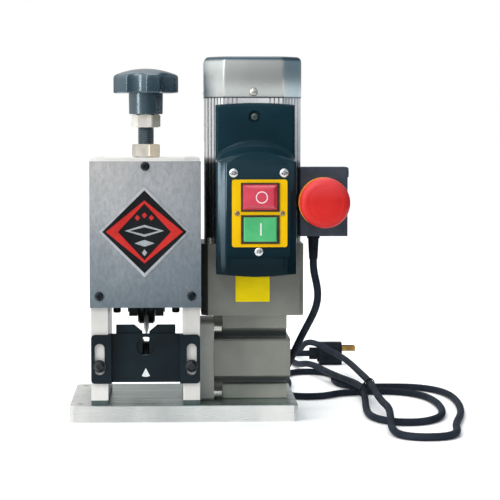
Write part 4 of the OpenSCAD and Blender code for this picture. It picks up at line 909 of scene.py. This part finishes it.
# Bright domed heads, one in each of the cap's four broad sides. Those at its left and
# right are sunk deeper.
bm = bmesh.new()
for ahead, height in (((0, -1, 0), 2.4), ((1, 0, 0), 0.7), ((0, 1, 0), 2.4), ((-1, 0, 0), 0.7)):
    turned(bm, mm(motor_x, motor_y, 332) + Vector(ahead) * 0.0494, ahead,
           [(0, height + 0.3), (1.6, height + 0.25), (3, height * 0.75 + 0.3), (3.9, height * 0.45 + 0.3),
            (4.3, 0.3), (4.4, 0), (0, 0)], 40)
cap_screws = piece("cap_screw_heads", bm, bright_steel, "frame")
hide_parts("cap_screws")


# Switch box and its front panel

# A glossy black-green casting with a slanted border, a bowed bottom and an arched step
# under its thin upper part. A screw sits deep in the thin part. The panel has its gloss. Its
# gloss is painted strongest under the step, fading downwards as painted reflection, and its
# colour is painted darker near the bottom as shade.
gloss, tree, shader, place = material("gloss enamel", srgb(14, 30, 36), 0.12)
height = part_of(tree, place, "Z")
shader.inputs["Specular Tint"].default_value = (0.72, 0.88, 1, 1)
# Painted reflection: the gloss is strongest under the arched step and fades downwards.
mirror_tone = ramp(tree, height, [
    (0.15, grey(0.08)), (0.184, grey(0.1)), (0.223, grey(0.32)), (0.258, grey(0.42)), (0.266, grey(0.1))])
tree.links.new(mirror_tone, shader.inputs["Specular IOR Level"])
enamel_tone = ramp(tree, noise(tree, place, 16), [(0.3, srgb(16, 40, 49)), (0.7, srgb(23, 49, 58))])
# Painted shade: darker near the bottom.
low_painted_shade = ramp(tree, height, [(0.158, srgb(176, 168, 164)), (0.178, srgb(222, 222, 222)), (0.24, unchanged)])
tree.links.new(times(tree, enamel_tone, low_painted_shade), shader.inputs["Base Color"])
tree.links.new(spread(tree, noise(tree, place, 220), 0.08, 0.18), shader.inputs["Roughness"])
bump(tree, shader, noise(tree, place, 60), 0.00001)
box_x, box_half, box_low, box_bow, box_steps = 72.4, 40.15, 147.3, 2.5, 24
thin_low, thin_high, thin_arch, thin_steps = 247.3, 319, 2, 16
deep_x, deep_z = 71.8, 307


def box_row(y, side, low, arch_mid, arch_side):
    """One outline of the switch box at depth y: side and low are insets in mm, the arch is its top."""
    half = box_half - side
    across = [2 * i / box_steps - 1 for i in range(box_steps + 1)]
    return ([mm(box_x + u * half, y, box_low + low + box_bow * u * u) for u in across]
            + [mm(box_x + u * half, y, arch_mid - (arch_mid - arch_side) * u * u) for u in reversed(across)])


def thin_row(y, inset):
    """The thin part's outline at depth y, with points along all four sides."""
    x0, x1, z1 = box_x - box_half + inset, box_x + box_half - inset, thin_high - inset
    parts = [i / thin_steps for i in range(thin_steps)]
    row = [(x0 + (x1 - x0) * t, thin_low) for t in parts]
    row += [(x1, thin_low + (z1 - thin_low) * t) for t in parts]
    row += [(x1 - (x1 - x0) * t, z1 + thin_arch * (1 - (1 - 2 * t) ** 2)) for t in parts]
    row += [(x0, z1 - (z1 - thin_low) * t) for t in parts]
    return [mm(x, y, z) for x, z in row]


def recess_row(y, radius):
    """A circle round the deep screw, one point for each point of the thin part's outline."""
    middle = mm(deep_x, y, deep_z)
    return [middle + (point - middle).normalized() * radius / 1000 for point in thin_row(y, 0)]


thin_part = [thin_row(y, inset) for y, inset in (
    (-59.2, 0), (-63.6, 0), (-65.6, 0.7), (-66.6, 1.9), (-67, 3.6))]
deep_recess = [recess_row(y, radius) for y, radius in ((-66.98, 6.3), (-66.6, 6.0), (-64, 6.0))]
bm = bmesh.new()
rows_solid(bm, thin_part + deep_recess)
rows_solid(bm, [box_row(*row) for row in (
    (-66.9, 0, 0, 284, 269), (-68, 0, 0, 281, 267), (-71, 0, 0, 277, 264.4), (-76, 0, 0, 274.6, 263),
    (-86, 0, 0, 273, 262), (-94, 0, 0, 272.6, 261.8), (-95.6, 0.3, 0, 272.5, 261.7),
    (-96.6, 1.1, 0, 272.4, 261.6), (-97.0, 1.85, 0, 272.4, 261.6), (-98.75, 4.95, 0, 272.3, 261.5),
    (-100.5, 8.45, 0, 272.2, 261.4), (-100.9, 9.2, 0, 272.2, 261.4), (-101.7, 10.2, 0.4, 271.8, 261.2),
    (-102, 11, 1.2, 270.8, 260.6))])
box = piece("switch_box_casting", bm, gloss, "frame", angle=40)
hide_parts("switch_box")
paint(gloss, "switch_panel")
soften(0.0012, "switch_panel", segments=3)


# Screws of the panel, the thin part and the switch plate

# Steel pan heads with a cross recess: three bright ones in the panel, a dim one deep in
# the thin part, and two small yellowed ones beside the buttons.
def pan_head(bm, x, y, z, radius, height):
    """A domed head in mm on a face at y, towards the operator."""
    profile = [(0, height)]
    for degrees in range(15, 91, 15):
        a = math.radians(degrees)
        profile.append((radius * math.sin(a), height * (0.25 + 0.75 * math.cos(a))))
    turned(bm, mm(x, y, z), (0, -1, 0), profile + [(radius, 0), (0, 0)], 32)


def cross(bm, x, y, z, reach, width, turn):
    """A flat cross of dark slots in mm, just in a screw head's front."""
    points = []
    for k in range(4):
        a = turn + math.pi / 2 * k
        for out_by, to_side in ((width, -width), (reach, -width * 0.8), (reach, width * 0.8)):
            points.append((x + math.cos(a) * out_by - math.sin(a) * to_side,
                           z + math.sin(a) * out_by + math.cos(a) * to_side))
    slab(bm, points, y + 0.3, y)


cross_at = 0.97
panel_face, panel_head = -104, 2.4
thin_face, deep_head = -64, 2
plate_face, plate_head, plate_screw_z = -106, 1.3, 211
slots = bmesh.new()
bm = bmesh.new()
for x, z, radius, turn in ((49.4, 251.0, 4.6, 0.5), (99.6, 251.0, 4.6, 0.2), (74.5, 172.8, 4.5, 0.7)):
    pan_head(bm, x, panel_face, z, radius, panel_head)
    cross(slots, x, panel_face - panel_head * cross_at, z, radius * 0.5, radius * 0.13, turn)
chrome = plain("bright screws", srgb(196, 199, 202), srgb(222, 224, 226), 0.22, 120, metallic=0.9)
panel_screws = piece("panel_screw_heads", bm, chrome, "frame")
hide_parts("panel_screws")
bm = bmesh.new()
pan_head(bm, deep_x, thin_face, deep_z, 3.7, deep_head)
cross(slots, deep_x, thin_face - deep_head * cross_at, deep_z, 1.9, 0.5, 0.4)
dim_steel = plain("dim screw", srgb(66, 80, 74), srgb(104, 118, 110), 0.34, 200, metallic=0.5)
piece("deep_screw_head", bm, dim_steel, "frame")
bm = bmesh.new()
for x, turn in ((52.7, 0.3), (97.8, 0.9)):
    pan_head(bm, x, plate_face, plate_screw_z, 2.6, plate_head)
    cross(slots, x, plate_face - plate_head * cross_at, plate_screw_z, 1.7, 0.42, turn)
brown_zinc = plain("yellowed zinc", srgb(126, 108, 72), srgb(178, 160, 122), 0.3, 300, metallic=0.6)
piece("plate_screw_heads", bm, brown_zinc, "frame")
recess = plain("screw recess", srgb(26, 24, 24), srgb(52, 48, 46), 0.5, 200, shine=0.2)
piece("panel_screw_slots", slots, recess, "frame")


# Switch plate and switch body

# A yellow plastic plate on the panel, and the dark body of the switch that stands
# through it as a frame round each button.
yellow = plain("yellow plastic", srgb(216, 170, 0), srgb(230, 186, 2), 0.34, 40, shine=0.15)
paint(yellow, "switch_plate")
soften(0.0008, "switch_plate", segments=3)
frame_dark = plain("switch frame", srgb(38, 28, 22), srgb(60, 44, 32), 0.3, 90)
paint(frame_dark, "switch_body")
soften(0.0009, "switch_body", segments=3)


# Stop button

# A moulded red button with a clear gloss, raised with slanted sides and held by the
# switch body. A printed ring marks its face.
def oblong(x, z, w, h):
    """A rectangle's corners as (x, z) in mm, round a point."""
    return [(x - w / 2, z - h / 2), (x + w / 2, z - h / 2), (x + w / 2, z + h / 2), (x - w / 2, z + h / 2)]


def gloss_plastic(name, dark, light, middle, roughness, coat):
    """Clear-coated plastic that varies between two colours."""
    made, tree, shader, place = material(name, middle, roughness)
    shader.inputs["Coat Weight"].default_value = coat
    tree.links.new(ramp(tree, noise(tree, place, 60), [(0.3, dark), (0.7, light)]),
                   shader.inputs["Base Color"])
    bump(tree, shader, noise(tree, place, 500), 0.00001)
    return made


def circle(x, z, radius, steps=48):
    """Points of a circle as (x, z) in mm."""
    return [(x + radius * math.cos(2 * math.pi * k / steps), z + radius * math.sin(2 * math.pi * k / steps))
            for k in range(steps)]


stop_x, stop_z, stop_w, stop_h = 75.6, 227, 34.2, 25.2
red = gloss_plastic("stop red", srgb(180, 44, 66), srgb(196, 58, 80), srgb(196, 52, 74), 0.2, 0.5)
bm = bmesh.new()
rows_solid(bm, [[mm(x, y, z) for x, z in oblong(*face)] for y, face in (
    (-96, (stop_x, stop_z, stop_w, stop_h)), (-107.6, (stop_x, stop_z, stop_w, stop_h)),
    (-108.4, (stop_x, stop_z, stop_w - 1, stop_h - 0.8)), (-111.0, (77.2, 227.2, 23, 17.2)))])
stop = piece("stop_button_cap", bm, red, "stop_button")
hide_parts("stop_button")
sign_white = plain("white sign", srgb(214, 206, 206), srgb(228, 220, 220), 0.5, 200)
bm = bmesh.new()
plate_ring(bm, circle(77.2, stop_z, 6), circle(77.2, stop_z, 5), -110.9, -111.05)
piece("stop_sign", bm, sign_white, "stop_button")


# Start button

# A flat moulded green button in the frame's lower window, duller than the red one. A
# printed bar marks its face.
start_x, start_z = 75.85, 195
green = gloss_plastic("start green", srgb(62, 160, 100), srgb(76, 178, 114), srgb(66, 172, 106), 0.26, 0.3)
bm = bmesh.new()
rows_solid(bm, [[mm(x, y, z) for x, z in oblong(start_x, start_z, w, h)] for y, w, h in (
    (-96, 33, 24.4), (-107, 33, 24.4), (-108.0, 30.6, 22))])
start = piece("start_button_cap", bm, green, "start_button")
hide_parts("start_button")
bm = bmesh.new()
slab(bm, oblong(76.4, 195.2, 1.4, 12), -107.9, -108.05)
piece("start_sign", bm, sign_white, "start_button")


# Label

# A plain yellow paper label with a dull finish, stuck flat on the gearhead's front
# under the switch box.
label_yellow = plain("yellow label", srgb(232, 206, 0), srgb(246, 222, 8), 0.5, 40, shine=0.12)
paint(label_yellow, "plain_label")


# Emergency stop box

# A dark grey plastic box beside the switch box, joined to it by a black nipple, with a
# small glossy boss at its side and an orange-yellow collar on its front.
box_grey = plain("dark grey box", srgb(46, 54, 66), srgb(62, 70, 82), 0.5, 50, fine=1200, shine=0.3)
paint(box_grey, "estop_box")
soften(0.0008, "estop_box", segments=3)
paint(plastic_black, "box_nipple")
paint(gloss, "side_boss")
orange = plain("orange collar", srgb(232, 150, 30), srgb(246, 178, 50), 0.35, 60)
paint(orange, "estop_collar")


# Emergency stop button

# A red plastic mushroom on a dark steel stem. It has a shallow ring near its rim, and its
# upper part is paler in the light from above.
paint(dark_steel, "estop_stem")
mushroom_red, tree, shader, place = material("mushroom red", srgb(214, 40, 34), 0.34)
shader.inputs["Specular IOR Level"].default_value = 0.2
deep_red = ramp(tree, noise(tree, place, 40), [(0.3, srgb(186, 32, 31)), (0.7, srgb(204, 41, 38))])
rise = ramp(tree, fade(tree, place, "Z", 0.197, 0.247), [(0.0, grey(0)), (0.55, grey(0)), (0.92, grey(0.5))])
tree.links.new(blended(tree, rise, deep_red, srgb(226, 84, 88)), shader.inputs["Base Color"])
bump(tree, shader, noise(tree, place, 600), 0.00002)
bm = bmesh.new()
turned(bm, mm(139.55, -100.5, 221.6), (0, -1, 0),
       [(0, 0), (16.5, 0), (18, 6.5), (24, 8.8), (25, 12), (25, 15.4), (24.6, 17.4), (23.6, 19.2),
        (21.6, 20.7), (18.4, 21.7), (17.6, 21.75), (17, 21.6), (16.4, 21.75), (10, 22), (0, 22)], 96)
mushroom = piece("mushroom_head", bm, mushroom_red, "estop_head", angle=60)
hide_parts("estop_head")
